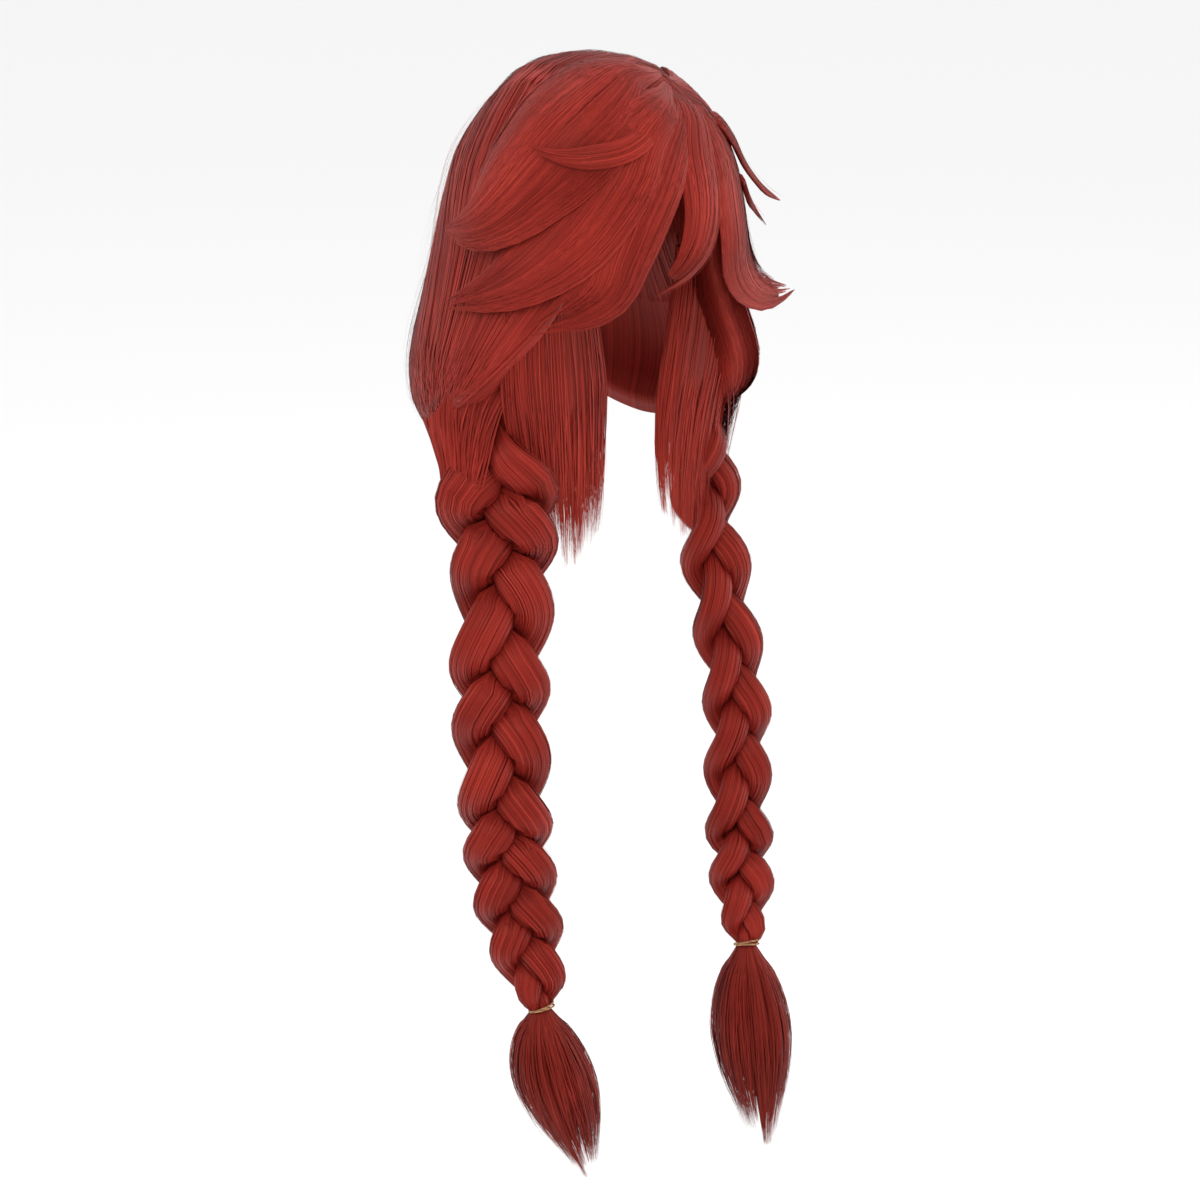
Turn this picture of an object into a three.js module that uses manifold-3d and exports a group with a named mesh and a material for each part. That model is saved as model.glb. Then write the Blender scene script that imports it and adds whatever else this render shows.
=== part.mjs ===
// Pigtail wig: a hollow crown of combed hair with swept bangs and side locks,
// and two three-strand braids that end in tied tails.
// Millimetres, +Z up. The wearer faces -Y, and +X is the wearer's left.
// The origin is the highest point of the hollow, where the wearer's head carries the wig.

import * as THREE from "three";
import { mergeVertices } from "three/addons/utils/BufferGeometryUtils.js";
import Module from "manifold-3d";

const wasm = await Module();
wasm.setup();

// Fit between pieces
const clearance = 0.3;
const strandMargin = 2.4;
const sliverSize = 0.02;

// Hollow for the head
const headBreadth = 152;
const headFront = 92;
const headBack = 98;
const headWidestDrop = 95;

// Outer form of the combed hair
const hairLift = 20;
const hairBreadth = 280;
const hairFront = 120;
const hairBack = 143;
const hairDrop = 360;
const leftFullness = 0.13;
const curtainWall = 38;
const wallFromShare = 0.5;

// Loose locks on the crown
const topLayerWidth = 92;
const topLayerThickness = 8;
const bangWidth = 66;
const bangThickness = 9;
const centreBangWidth = 46;
const frontSheetWidth = 68;
const flickWidth = 17;
const flickThickness = 5;
const layerLift = 10;
const leastHalf = 0.5;

// Side locks
const sideLockWidth = 92;
const sideLockThickness = 24;
const sideLockTop = 138;
const sideLockLength = 236;
const sideLockForward = 40;
const sideLockSpread = { right: 82, left: 92 };
const sideLockFacing = { right: -16, left: 4 };

// Braids, from their root in the curtain down to the tie
const braidWidth = 84;
const braidDepth = 54;
const braidTop = 208;
const rightBraidLength = 527;
const leftBraidLength = 535;
const braidSpread = 135;
const braidForward = 66;

// Ties and tails
const tieWireThickness = 3.2;
const tailWidth = 70;
const rightTailLength = 138;
const leftTailLength = 176;
const rightTailSwing = { out: -26, forward: 24 };
const leftTailSwing = { out: 10, forward: 12 };

// Facets
const crownSegments = 40;
const crownRows = 9;
const lockSides = 8;
const lockSteps = 10;
const flickSides = 6;
const flickSteps = 6;
const tailLockSides = 5;
const tailLockSteps = 4;
const tieWireSides = 5;
const tieSegments = 12;
const strandSides = 8;
const strandSteps = 38;

// Hair form: drop as a share of hairDrop, side of half hairBreadth, front of hairFront, back of hairBack,
// and full, the share of leftFullness that the wearer's left has at that height
const formRows = [
  { drop: 0.0, side: 0.0, front: 0.0, back: 0.0, full: 0 },
  { drop: 0.033, side: 0.357, front: 0.467, back: 0.38, full: 0 },
  { drop: 0.083, side: 0.479, front: 0.65, back: 0.53, full: 0 },
  { drop: 0.136, side: 0.571, front: 0.808, back: 0.65, full: 0 },
  { drop: 0.225, side: 0.686, front: 0.95, back: 0.81, full: 0 },
  { drop: 0.292, side: 0.736, front: 0.992, back: 0.865, full: 0 },
  { drop: 0.394, side: 0.793, front: 1.0, back: 0.93, full: 0.05 },
  { drop: 0.483, side: 0.857, front: 0.933, back: 0.965, full: 0.25 },
  { drop: 0.575, side: 0.93, front: 0.883, back: 1.0, full: 0.6 },
  { drop: 0.653, side: 0.995, front: 0.867, back: 1.03, full: 0.9 },
  { drop: 0.719, side: 1.02, front: 0.867, back: 1.03, full: 1.0 },
  { drop: 0.786, side: 1.0, front: 0.867, back: 0.99, full: 0.9 },
  { drop: 0.878, side: 0.871, front: 0.867, back: 0.811, full: 0.5 },
  { drop: 1.0, side: 0.714, front: 0.867, back: 0.699, full: 0.1 },
];

// Lower edge of the crown hair: degrees round from the face, and its drop on each side as a share
// of hairDrop
const rimRows = [
  { around: 0, right: 0.217, left: 0.217 },
  { around: 30, right: 0.228, left: 0.228 },
  { around: 45, right: 0.306, left: 0.306 },
  { around: 56, right: 0.472, left: 0.56 },
  { around: 70, right: 0.589, left: 0.77 },
  { around: 83, right: 0.683, left: 0.85 },
  { around: 92, right: 0.736, left: 0.87 },
  { around: 115, right: 0.861, left: 0.87 },
  { around: 140, right: 0.806, left: 0.806 },
  { around: 160, right: 0.681, left: 0.681 },
  { around: 180, right: 0.611, left: 0.611 },
];

// Locks that lie on the hair form, root first. around is in degrees, drop a share of hairDrop,
// lift of layerLift, wide of the lock's width and deep of its thickness. A fine lock takes fewer facets
const locks = {
  bang_centre: {
    width: centreBangWidth,
    thickness: bangThickness,
    rows: [
      { around: 20, drop: 0.07, lift: 0.2, wide: 0.5, deep: 0.6 },
      { around: 9, drop: 0.13, lift: 0.5, wide: 0.72, deep: 0.9 },
      { around: 0, drop: 0.2, lift: 0.5, wide: 0.9, deep: 1.0 },
      { around: -2.5, drop: 0.327, lift: 0.4, wide: 0.92, deep: 0.8 },
      { around: -8, drop: 0.416, lift: 0.3, wide: 0.68, deep: 0.55 },
      { around: -18, drop: 0.488, lift: 0.1, wide: 0.08, deep: 0.12 },
    ],
  },
  front_left: {
    width: frontSheetWidth,
    thickness: bangThickness,
    rows: [
      { around: 28, drop: 0.06, lift: 0.3, wide: 0.4, deep: 0.6 },
      { around: 27, drop: 0.17, lift: 0.5, wide: 0.85, deep: 1.0 },
      { around: 27, drop: 0.31, lift: 0.6, wide: 1.1, deep: 0.9 },
      { around: 33, drop: 0.43, lift: 0.8, wide: 1.08, deep: 0.8 },
      { around: 45, drop: 0.53, lift: 1.8, wide: 0.55, deep: 0.6 },
      { around: 62, drop: 0.583, lift: 4.2, wide: 0.06, deep: 0.12 },
    ],
  },
  bang_right_lower: {
    width: bangWidth,
    thickness: bangThickness,
    rows: [
      { around: 17, drop: 0.07, lift: 0.2, wide: 0.25, deep: 0.6 },
      { around: -11, drop: 0.15, lift: 0.6, wide: 0.72, deep: 1.0 },
      { around: -25, drop: 0.275, lift: 0.6, wide: 0.95, deep: 1.0 },
      { around: -32, drop: 0.385, lift: 0.5, wide: 0.98, deep: 0.9 },
      { around: -43, drop: 0.48, lift: 0.6, wide: 0.7, deep: 0.7 },
      { around: -69, drop: 0.57, lift: 0.8, wide: 0.06, deep: 0.15 },
    ],
  },
  bang_right_upper: {
    width: bangWidth,
    thickness: bangThickness,
    rows: [
      { around: 16, drop: 0.06, lift: 0.4, wide: 0.3, deep: 0.6 },
      { around: -22, drop: 0.133, lift: 1.0, wide: 0.7, deep: 1.0 },
      { around: -38, drop: 0.24, lift: 1.15, wide: 0.95, deep: 1.0 },
      { around: -54, drop: 0.357, lift: 1.1, wide: 0.95, deep: 0.9 },
      { around: -76, drop: 0.463, lift: 0.8, wide: 0.66, deep: 0.7 },
      { around: -104, drop: 0.537, lift: 0.9, wide: 0.06, deep: 0.15 },
    ],
  },
  layer_right: {
    width: topLayerWidth,
    thickness: topLayerThickness,
    rows: [
      { around: 22, drop: 0.035, lift: 0.3, wide: 0.3, deep: 0.8 },
      { around: -25, drop: 0.035, lift: 0.6, wide: 0.66, deep: 1.0 },
      { around: -55, drop: 0.11, lift: 1.5, wide: 1.05, deep: 1.0 },
      { around: -73, drop: 0.215, lift: 1.9, wide: 1.05, deep: 1.0 },
      { around: -91, drop: 0.32, lift: 1.6, wide: 0.75, deep: 0.8 },
      { around: -114, drop: 0.378, lift: 1.2, wide: 0.06, deep: 0.15 },
    ],
  },
  layer_left: {
    width: topLayerWidth,
    thickness: topLayerThickness,
    rows: [
      { around: 36, drop: 0.05, lift: 0.4, wide: 0.35, deep: 0.7 },
      { around: 55, drop: 0.11, lift: 0.7, wide: 0.8, deep: 1.0 },
      { around: 68, drop: 0.21, lift: 0.8, wide: 1.0, deep: 1.0 },
      { around: 82, drop: 0.32, lift: 0.8, wide: 0.9, deep: 0.9 },
      { around: 100, drop: 0.42, lift: 0.8, wide: 0.55, deep: 0.6 },
      { around: 124, drop: 0.49, lift: 1.1, wide: 0.06, deep: 0.15 },
    ],
  },
  flick_top: {
    width: flickWidth,
    thickness: flickThickness,
    fine: true,
    rows: [
      { around: 16, drop: 0.055, lift: 0.9, wide: 0.6, deep: 0.8 },
      { around: -10, drop: 0.12, lift: 1.4, wide: 0.8, deep: 1.0 },
      { around: -27, drop: 0.18, lift: 1.8, wide: 1.0, deep: 1.0 },
      { around: -42, drop: 0.203, lift: 2.2, wide: 1.0, deep: 0.9 },
      { around: -55, drop: 0.205, lift: 2.45, wide: 0.6, deep: 0.7 },
      { around: -67, drop: 0.193, lift: 2.7, wide: 0.08, deep: 0.2 },
    ],
  },
  flick_left_upper: {
    width: flickWidth,
    thickness: flickThickness,
    fine: true,
    rows: [
      { around: 27, drop: 0.12, lift: 0.9, wide: 1.0, deep: 1.0 },
      { around: 36, drop: 0.19, lift: 1.2, wide: 1.3, deep: 1.2 },
      { around: 44, drop: 0.25, lift: 1.5, wide: 1.1, deep: 1.0 },
      { around: 51, drop: 0.318, lift: 2.8, wide: 0.7, deep: 0.8 },
      { around: 59, drop: 0.375, lift: 4.8, wide: 0.08, deep: 0.2 },
    ],
  },
  flick_left_small: {
    width: flickWidth,
    thickness: flickThickness,
    fine: true,
    rows: [
      { around: 38, drop: 0.26, lift: 1.0, wide: 0.6, deep: 0.9 },
      { around: 43, drop: 0.32, lift: 1.3, wide: 0.8, deep: 1.0 },
      { around: 49, drop: 0.36, lift: 1.9, wide: 0.5, deep: 0.7 },
      { around: 56, drop: 0.415, lift: 3.0, wide: 0.08, deep: 0.2 },
    ],
  },
  flick_left_lower: {
    width: flickWidth,
    thickness: flickThickness,
    fine: true,
    rows: [
      { around: 44, drop: 0.36, lift: 0.9, wide: 0.8, deep: 0.9 },
      { around: 46, drop: 0.45, lift: 0.9, wide: 1.2, deep: 1.2 },
      { around: 49, drop: 0.53, lift: 1.3, wide: 0.9, deep: 1.0 },
      { around: 55, drop: 0.6, lift: 2.2, wide: 0.08, deep: 0.2 },
    ],
  },
};

// Side locks: down is a share of sideLockLength, out of sideLockSpread, forward of sideLockForward
const sideLockRows = [
  { down: 0.0, out: 1.0, forward: 1.0, wide: 0.75, deep: 0.8 },
  { down: 0.2, out: 1.0, forward: 1.0, wide: 0.92, deep: 1.0 },
  { down: 0.4, out: 0.95, forward: 0.96, wide: 1.0, deep: 1.0 },
  { down: 0.6, out: 0.87, forward: 0.9, wide: 0.9, deep: 0.85 },
  { down: 0.8, out: 0.82, forward: 0.92, wide: 0.68, deep: 0.5 },
  { down: 1.0, out: 0.81, forward: 0.96, wide: 0.4, deep: 0.12 },
];

// Middle line of a braid: down is a share of its length, out of braidSpread, forward of braidForward
const braidLine = [
  { down: 0.0, out: 0.84, forward: 0.14 },
  { down: 0.1, out: 0.86, forward: 0.18 },
  { down: 0.18, out: 0.87, forward: 0.18 },
  { down: 0.325, out: 0.88, forward: 0.33 },
  { down: 0.477, out: 0.965, forward: 0.44 },
  { down: 0.627, out: 1.01, forward: 0.585 },
  { down: 0.783, out: 0.987, forward: 0.66 },
  { down: 0.93, out: 0.93, forward: 0.87 },
  { down: 1.0, out: 0.9, forward: 1.0 },
];

// Plaiting: lobe counts the crossings made, half is a share of half braidWidth,
// deep of half braidDepth, and facing is the way that the flat side looks, in degrees round from the face
const plaitRows = {
  right: [
    { down: 0.0, lobe: -2.0, half: 1.3, deep: 0.6, facing: -80 },
    { down: 0.12, lobe: -1.2, half: 1.25, deep: 0.85, facing: -74 },
    { down: 0.233, lobe: 0, half: 1.14, deep: 1.0, facing: -50 },
    { down: 0.33, lobe: 1, half: 0.98, deep: 1.0, facing: -42 },
    { down: 0.458, lobe: 2, half: 0.95, deep: 1.0, facing: -38 },
    { down: 0.554, lobe: 3, half: 0.92, deep: 0.97, facing: -38 },
    { down: 0.672, lobe: 4, half: 0.88, deep: 0.92, facing: -38 },
    { down: 0.753, lobe: 5, half: 0.86, deep: 0.88, facing: -38 },
    { down: 0.837, lobe: 6, half: 0.82, deep: 0.82, facing: -38 },
    { down: 0.907, lobe: 7, half: 0.76, deep: 0.74, facing: -38 },
    { down: 0.957, lobe: 8, half: 0.53, deep: 0.6, facing: -38 },
    { down: 1.0, lobe: 9, half: 0.22, deep: 0.34, facing: -38 },
  ],
  left: [
    { down: 0.0, lobe: -3.0, half: 1.3, deep: 0.62, facing: 74 },
    { down: 0.12, lobe: -2.0, half: 1.25, deep: 0.8, facing: 62 },
    { down: 0.245, lobe: -1, half: 0.76, deep: 0.84, facing: 16 },
    { down: 0.361, lobe: 0, half: 0.68, deep: 0.8, facing: -8 },
    { down: 0.484, lobe: 1, half: 0.66, deep: 0.78, facing: -20 },
    { down: 0.598, lobe: 2, half: 0.66, deep: 0.78, facing: -25 },
    { down: 0.703, lobe: 3, half: 0.66, deep: 0.78, facing: -25 },
    { down: 0.809, lobe: 4, half: 0.66, deep: 0.78, facing: -25 },
    { down: 0.882, lobe: 5, half: 0.62, deep: 0.74, facing: -25 },
    { down: 0.948, lobe: 6, half: 0.5, deep: 0.6, facing: -25 },
    { down: 1.0, lobe: 7, half: 0.2, deep: 0.3, facing: -25 },
  ],
};
const strandSway = 0.57;
const strandHalfWidth = 0.43;
const strandWeave = 0.6;
const strandHalfDepth = 0.41;

// Tail below the tie: down is a share of its length, half of half tailWidth
const tailRows = [
  { down: 0.0, half: 0.2 },
  { down: 0.025, half: 0.22 },
  { down: 0.12, half: 0.6 },
  { down: 0.28, half: 0.9 },
  { down: 0.45, half: 1.0 },
  { down: 0.65, half: 0.86 },
  { down: 0.85, half: 0.45 },
  { down: 1.0, half: 0.16 },
];
const tailCoreShare = 0.72;
const tailLockSpread = 2.1;
const tailLockLengths = [1.0, 0.88, 0.96, 0.9, 0.98];
const tailCoreLength = 0.9;
const tailBend = 1.5;
const tailTaper = { size: 0.9, power: 3 };
const tailClosing = { size: 0.35, power: 4 };
const tieSlopeShare = 0.03;

// Share or angle over which a slope is taken
const slopeStep = 0.01;
const strandSlopeStep = 0.004;

const hairRed = "#a8322a";
const tieTan = "#b98a5a";

// Smooth reading of a table: a cubic through the rows that keeps their slopes
function reader(rows, key) {
  const slope = (column, i) => {
    const before = rows[Math.max(i - 1, 0)];
    const after = rows[Math.min(i + 1, rows.length - 1)];
    return (after[column] - before[column]) / (after[key] - before[key]);
  };
  return (at, column) => {
    const last = rows.length - 2;
    let i = 0;
    while (i < last && at > rows[i + 1][key]) i += 1;
    const [low, high] = [rows[i], rows[i + 1]];
    const span = high[key] - low[key];
    const t = THREE.MathUtils.clamp((at - low[key]) / span, 0, 1);
    const rise = (1 + 2 * t) * (1 - t) ** 2 * low[column] + t * t * (3 - 2 * t) * high[column];
    return rise + span * t * (1 - t) * ((1 - t) * slope(column, i) - t * slope(column, i + 1));
  };
}

// Distance from the middle axis to an oval that is half one ellipse in front and half another behind
function ovalRadius(around, side, front, back) {
  const across = Math.sin(around);
  const ahead = Math.cos(around);
  return 1 / Math.hypot(across / side, ahead / (ahead > 0 ? front : back));
}

// The spot at a height, turned round from the face by an angle
function turned(around, radius, z) {
  return new THREE.Vector3(radius * Math.sin(around), -radius * Math.cos(around), z);
}

// The hair form is read by the square root of the drop, in which the dome's top is straight
const formByDepth = reader(formRows.map((row) => ({ ...row, depth: Math.sqrt(row.drop) })), "depth");

function formRadius(around, depth) {
  const side = formByDepth(depth, "side") * hairBreadth / 2;
  const front = formByDepth(depth, "front") * hairFront;
  const back = formByDepth(depth, "back") * hairBack;
  const fuller = leftFullness * formByDepth(depth, "full") * Math.max(0, Math.sin(around)) ** 2;
  return ovalRadius(around, side, front, back) * (1 + fuller);
}

function onForm(around, depth) {
  const reach = Math.abs(depth);
  const heading = depth < 0 ? around + Math.PI : around;
  return turned(heading, formRadius(heading, reach), hairLift - hairDrop * reach * reach);
}

// Directions on the hair form: round it, down it, and out of it
function formFrame(around, depth) {
  const step = 2 * slopeStep;
  const round = onForm(around + slopeStep, depth).sub(onForm(around - slopeStep, depth)).divideScalar(step);
  const down = onForm(around, depth + slopeStep).sub(onForm(around, depth - slopeStep)).divideScalar(step);
  const out = new THREE.Vector3().crossVectors(down, round).normalize();
  return { round, down, out };
}

function hairPoint(around, depth, lift) {
  return onForm(around, depth).addScaledVector(formFrame(around, depth).out, lift);
}

// A closed geometry as a solid whose faces point out
function solidFrom(geometry) {
  geometry.deleteAttribute("normal");
  geometry.deleteAttribute("uv");
  const merged = mergeVertices(geometry);
  const corners = merged.attributes.position.array;
  const faces = Array.from(merged.index.array);
  const at = (i) => new THREE.Vector3().fromArray(corners, 3 * i);
  let volume = 0;
  for (let i = 0; i < faces.length; i += 3) {
    volume += at(faces[i]).dot(at(faces[i + 1]).cross(at(faces[i + 2])));
  }
  if (volume < 0) faces.reverse();
  const mesh = new wasm.Mesh({
    numProp: 3,
    vertProperties: new Float32Array(corners),
    triVerts: new Uint32Array(faces),
  });
  return new wasm.Manifold(mesh);
}

// A closed cylinder of radius and height 1, bent by place(share from its root, across, out)
function bentRod(sides, steps, place) {
  const geometry = new THREE.CylinderGeometry(1, 1, 1, sides, steps);
  const spots = geometry.attributes.position;
  for (let i = 0; i < spots.count; i += 1) {
    const spot = place(0.5 - spots.getY(i), spots.getX(i), spots.getZ(i));
    spots.setXYZ(i, spot.x, spot.y, spot.z);
  }
  return solidFrom(geometry);
}

// What stays of a piece once its neighbours are cut away with their clearance, without slivers
function cutBy(piece, neighbours) {
  const rest = neighbours.reduce((left, neighbour) => left.subtract(neighbour), piece);
  return rest.decompose().sort((a, b) => b.volume() - a.volume())[0].simplify(sliverSize);
}

// Crown hair: a flat disc with a hem, draped over the head and down to the lower edge
const rimAt = reader(rimRows, "around");

function headRadius(around, drop) {
  const below = Math.min(drop / headWidestDrop, 1);
  const share = Math.sqrt(Math.max(0, 1 - (1 - below) ** 2));
  return share * ovalRadius(around, headBreadth / 2, headFront, headBack);
}

function crownHair(grow = 0) {
  const profile = [];
  for (let i = 0; i <= crownRows; i += 1) profile.push(new THREE.Vector2(i / crownRows, 1));
  for (let i = crownRows; i >= 0; i -= 1) profile.push(new THREE.Vector2(i / crownRows, 0));
  const disc = new THREE.LatheGeometry(profile, crownSegments);
  const spots = disc.attributes.position;
  for (let i = 0; i < spots.count; i += 1) {
    const around = Math.atan2(spots.getX(i), spots.getZ(i));
    const share = Math.hypot(spots.getX(i), spots.getZ(i));
    const rim = rimAt(Math.abs(THREE.MathUtils.radToDeg(around)), around < 0 ? "right" : "left");
    const rimDrop = rim * hairDrop + share * grow;
    let spot;
    if (spots.getY(i) > 0.5) {
      spot = hairPoint(around, share * Math.sqrt(rimDrop / hairDrop), grow);
    } else {
      const drop = (rimDrop - hairLift) * share ** 2;
      const depth = Math.sqrt((drop + hairLift) / hairDrop);
      const walled = (formRadius(around, depth) - curtainWall) * Math.min(1, (share / wallFromShare) ** 2);
      const radius = share > 0 ? Math.max(headRadius(around, drop), walled) - grow : 0;
      spot = turned(around, Math.max(0, radius), -drop - (1 - share) * grow);
    }
    spots.setXYZ(i, spot.x, spot.y, spot.z);
  }
  return solidFrom(disc);
}

// A lock that lies on the hair form
function layingLock(lock, grow = 0) {
  const last = lock.rows.length - 1;
  const rows = lock.rows.map((row, i) => ({ ...row, at: i / last, depth: Math.sqrt(row.drop) }));
  const read = reader(rows, "at");
  const half = (t, share, size) => Math.max(leastHalf, read(t, share) * size / 2) + grow;
  const middle = (t) => ({
    around: THREE.MathUtils.degToRad(read(t, "around")),
    depth: read(t, "depth"),
    lift: read(t, "lift") * layerLift,
  });
  const centre = (t) => {
    const { around, depth, lift } = middle(t);
    return hairPoint(around, depth, lift);
  };
  const [sides, steps] = lock.fine ? [flickSides, flickSteps] : [lockSides, lockSteps];
  return bentRod(sides, steps, (t, across, out) => {
    const here = middle(t);
    const along = centre(t + slopeStep).sub(centre(t - slopeStep));
    const frame = formFrame(here.around, here.depth);
    const sideways = new THREE.Vector3().crossVectors(frame.out, along).normalize();
    const reach = across * half(t, "wide", lock.width);
    const round = here.around + reach * sideways.dot(frame.round) / frame.round.lengthSq();
    const depth = here.depth + reach * sideways.dot(frame.down) / frame.down.lengthSq();
    return hairPoint(round, depth, here.lift + out * half(t, "deep", lock.thickness));
  });
}

// A straight lock that hangs in front of the ear
function sideLock(name, grow = 0) {
  const read = reader(sideLockRows, "down");
  const facing = THREE.MathUtils.degToRad(sideLockFacing[name]);
  const sideways = turned(facing + Math.PI / 2, 1, 0);
  const outward = turned(facing, 1, 0);
  return bentRod(lockSides, lockSteps, (t, across, out) => {
    const half = read(t, "wide") * sideLockWidth / 2 + grow;
    const thick = read(t, "deep") * sideLockThickness / 2 + grow;
    const x = sides[name].side * read(t, "out") * sideLockSpread[name];
    const y = -read(t, "forward") * sideLockForward;
    return new THREE.Vector3(x, y, -sideLockTop - t * sideLockLength)
      .addScaledVector(sideways, across * half)
      .addScaledVector(outward, out * thick);
  });
}

// The two braids
const readLine = reader(braidLine, "down");
const plaitReaders = { right: reader(plaitRows.right, "down"), left: reader(plaitRows.left, "down") };
const sides = {
  right: { side: -1, length: rightBraidLength, tailLength: rightTailLength, swing: rightTailSwing },
  left: { side: 1, length: leftBraidLength, tailLength: leftTailLength, swing: leftTailSwing },
};

function braidMiddle(name, t) {
  const { side, length } = sides[name];
  const out = side * readLine(t, "out") * braidSpread;
  return new THREE.Vector3(out, -readLine(t, "forward") * braidForward, -braidTop - t * length);
}

// Three strands sway across the braid and weave through its depth, a third of a turn apart
function braidSection(name, t) {
  const read = plaitReaders[name];
  const facing = THREE.MathUtils.degToRad(read(t, "facing"));
  const halfWidth = read(t, "half") * braidWidth / 2;
  const halfDepth = read(t, "deep") * braidDepth / 2;
  const centres = [0, 1, 2].map((order) => {
    const turn = (read(t, "lobe") + order) * 2 * Math.PI / 3 - Math.PI / 2;
    const sway = halfWidth * strandSway * Math.sin(turn);
    const weave = halfDepth * strandWeave * Math.sin(2 * turn);
    return new THREE.Vector2(sway, weave);
  });
  return {
    centres,
    middle: braidMiddle(name, t),
    sideways: turned(facing + Math.PI / 2, 1, 0),
    outward: turned(facing, 1, 0),
    reach: new THREE.Vector2(halfWidth * strandHalfWidth, halfDepth * strandHalfDepth),
  };
}

// Each strand stays on its own side of the line halfway to either neighbour, as packed hair does
function keptApart(spot, section, order, grow) {
  const flat = spot.clone().sub(section.middle);
  const at = new THREE.Vector2(flat.dot(section.sideways), flat.dot(section.outward)).divide(section.reach);
  const own = section.centres[order].clone().divide(section.reach);
  const margin = (strandMargin - grow) / section.reach.y;
  const moved = at.clone();
  for (const other of [1, 2, 1, 2]) {
    const neighbour = section.centres[(order + other) % 3].clone().divide(section.reach);
    const apart = own.clone().sub(neighbour).normalize();
    const inside = moved.clone().sub(own.clone().add(neighbour).multiplyScalar(0.5)).dot(apart);
    if (inside < margin) moved.addScaledVector(apart, margin - inside);
  }
  const shift = moved.sub(at).multiply(section.reach);
  return spot.addScaledVector(section.sideways, shift.x).addScaledVector(section.outward, shift.y);
}

function braidStrand(name, order, grow = 0) {
  const centre = (t) => {
    const section = braidSection(name, t);
    const { x, y } = section.centres[order];
    return section.middle.addScaledVector(section.sideways, x).addScaledVector(section.outward, y);
  };
  return bentRod(strandSides, strandSteps, (t, across, out) => {
    const { outward, reach } = braidSection(name, t);
    const along = centre(t + strandSlopeStep).sub(centre(t - strandSlopeStep)).normalize();
    const sideways = new THREE.Vector3().crossVectors(outward, along).normalize();
    const straight = new THREE.Vector3().crossVectors(along, sideways).normalize();
    const spot = centre(t)
      .addScaledVector(sideways, across * (reach.x + grow))
      .addScaledVector(straight, out * (reach.y + grow));
    const level = (-braidTop - spot.z) / sides[name].length;
    return keptApart(spot, braidSection(name, level), order, grow);
  });
}

// Where the tie sits, and the way that the hair runs through it
const tieHalfWidth = plaitRows.right.at(-1).half * braidWidth / 2;

function tieFrame(name) {
  const at = braidMiddle(name, 1);
  const along = at.clone().sub(braidMiddle(name, 1 - tieSlopeShare)).normalize();
  return { at, along };
}

function tailMiddle(name, t) {
  const { side, tailLength, swing } = sides[name];
  const bend = t ** tailBend;
  const drop = clearance + t * tailLength;
  return tieFrame(name).at.add(new THREE.Vector3(side * swing.out * bend, -swing.forward * bend, -drop));
}

// Tail: a core with locks round it, joined to one body
function tail(name) {
  const read = reader(tailRows, "down");
  const half = (t) => read(t, "half") * tailWidth / 2;
  const core = bentRod(lockSides, tailLockSteps, (t, across, out) => {
    const at = tailCoreLength * t;
    const reach = tailCoreShare * half(at);
    return tailMiddle(name, at).add(new THREE.Vector3(across * reach, out * reach, 0));
  });
  const lockReach = 1 - tailCoreShare;
  const outer = tailLockLengths.map((length, i) => {
    const heading = 2 * Math.PI * i / tailLockLengths.length;
    return bentRod(tailLockSides, tailLockSteps, (t, across, out) => {
      const at = length * t;
      const size = half(at);
      const away = size * tailCoreShare * (1 - tailClosing.size * t ** tailClosing.power);
      const reach = size * lockReach * (1 - tailTaper.size * t ** tailTaper.power);
      return tailMiddle(name, at)
        .add(turned(heading, away + out * reach, 0))
        .add(turned(heading + Math.PI / 2, tailLockSpread * across * reach, 0));
    });
  });
  return outer.reduce((joined, lock) => joined.add(lock), core);
}

// Tie: a ring whose wire just clears the hair that it holds
function hairTie() {
  const wire = tieWireThickness / 2;
  const ringRadius = tieHalfWidth + clearance + wire;
  const profile = [];
  for (let i = 0; i <= tieWireSides; i += 1) {
    const turn = 2 * Math.PI * i / tieWireSides;
    profile.push(new THREE.Vector2(ringRadius + wire * Math.cos(turn), wire * Math.sin(turn)));
  }
  return new THREE.LatheGeometry(profile, tieSegments);
}

function hairMaterial(color, roughness) {
  return new THREE.MeshStandardMaterial({ color, roughness, metalness: 0 });
}

const group = new THREE.Group();

function addSolid(name, solid, material) {
  const result = solid.getMesh();
  const geometry = new THREE.BufferGeometry();
  geometry.setAttribute("position", new THREE.BufferAttribute(result.vertProperties, 3));
  geometry.setIndex(new THREE.BufferAttribute(result.triVerts, 1));
  geometry.computeVertexNormals();
  const mesh = new THREE.Mesh(geometry, material);
  mesh.name = name;
  group.add(mesh);
}

// Crown, then each lock cut by the crown and by the locks that lie under it
addSolid("crown_hair", crownHair(), hairMaterial(hairRed, 0.5));
const placed = [crownHair(clearance)];
for (const [name, lock] of Object.entries(locks)) {
  addSolid(name, cutBy(layingLock(lock), placed), hairMaterial(hairRed, 0.45));
  placed.push(layingLock(lock, clearance));
}

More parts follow.
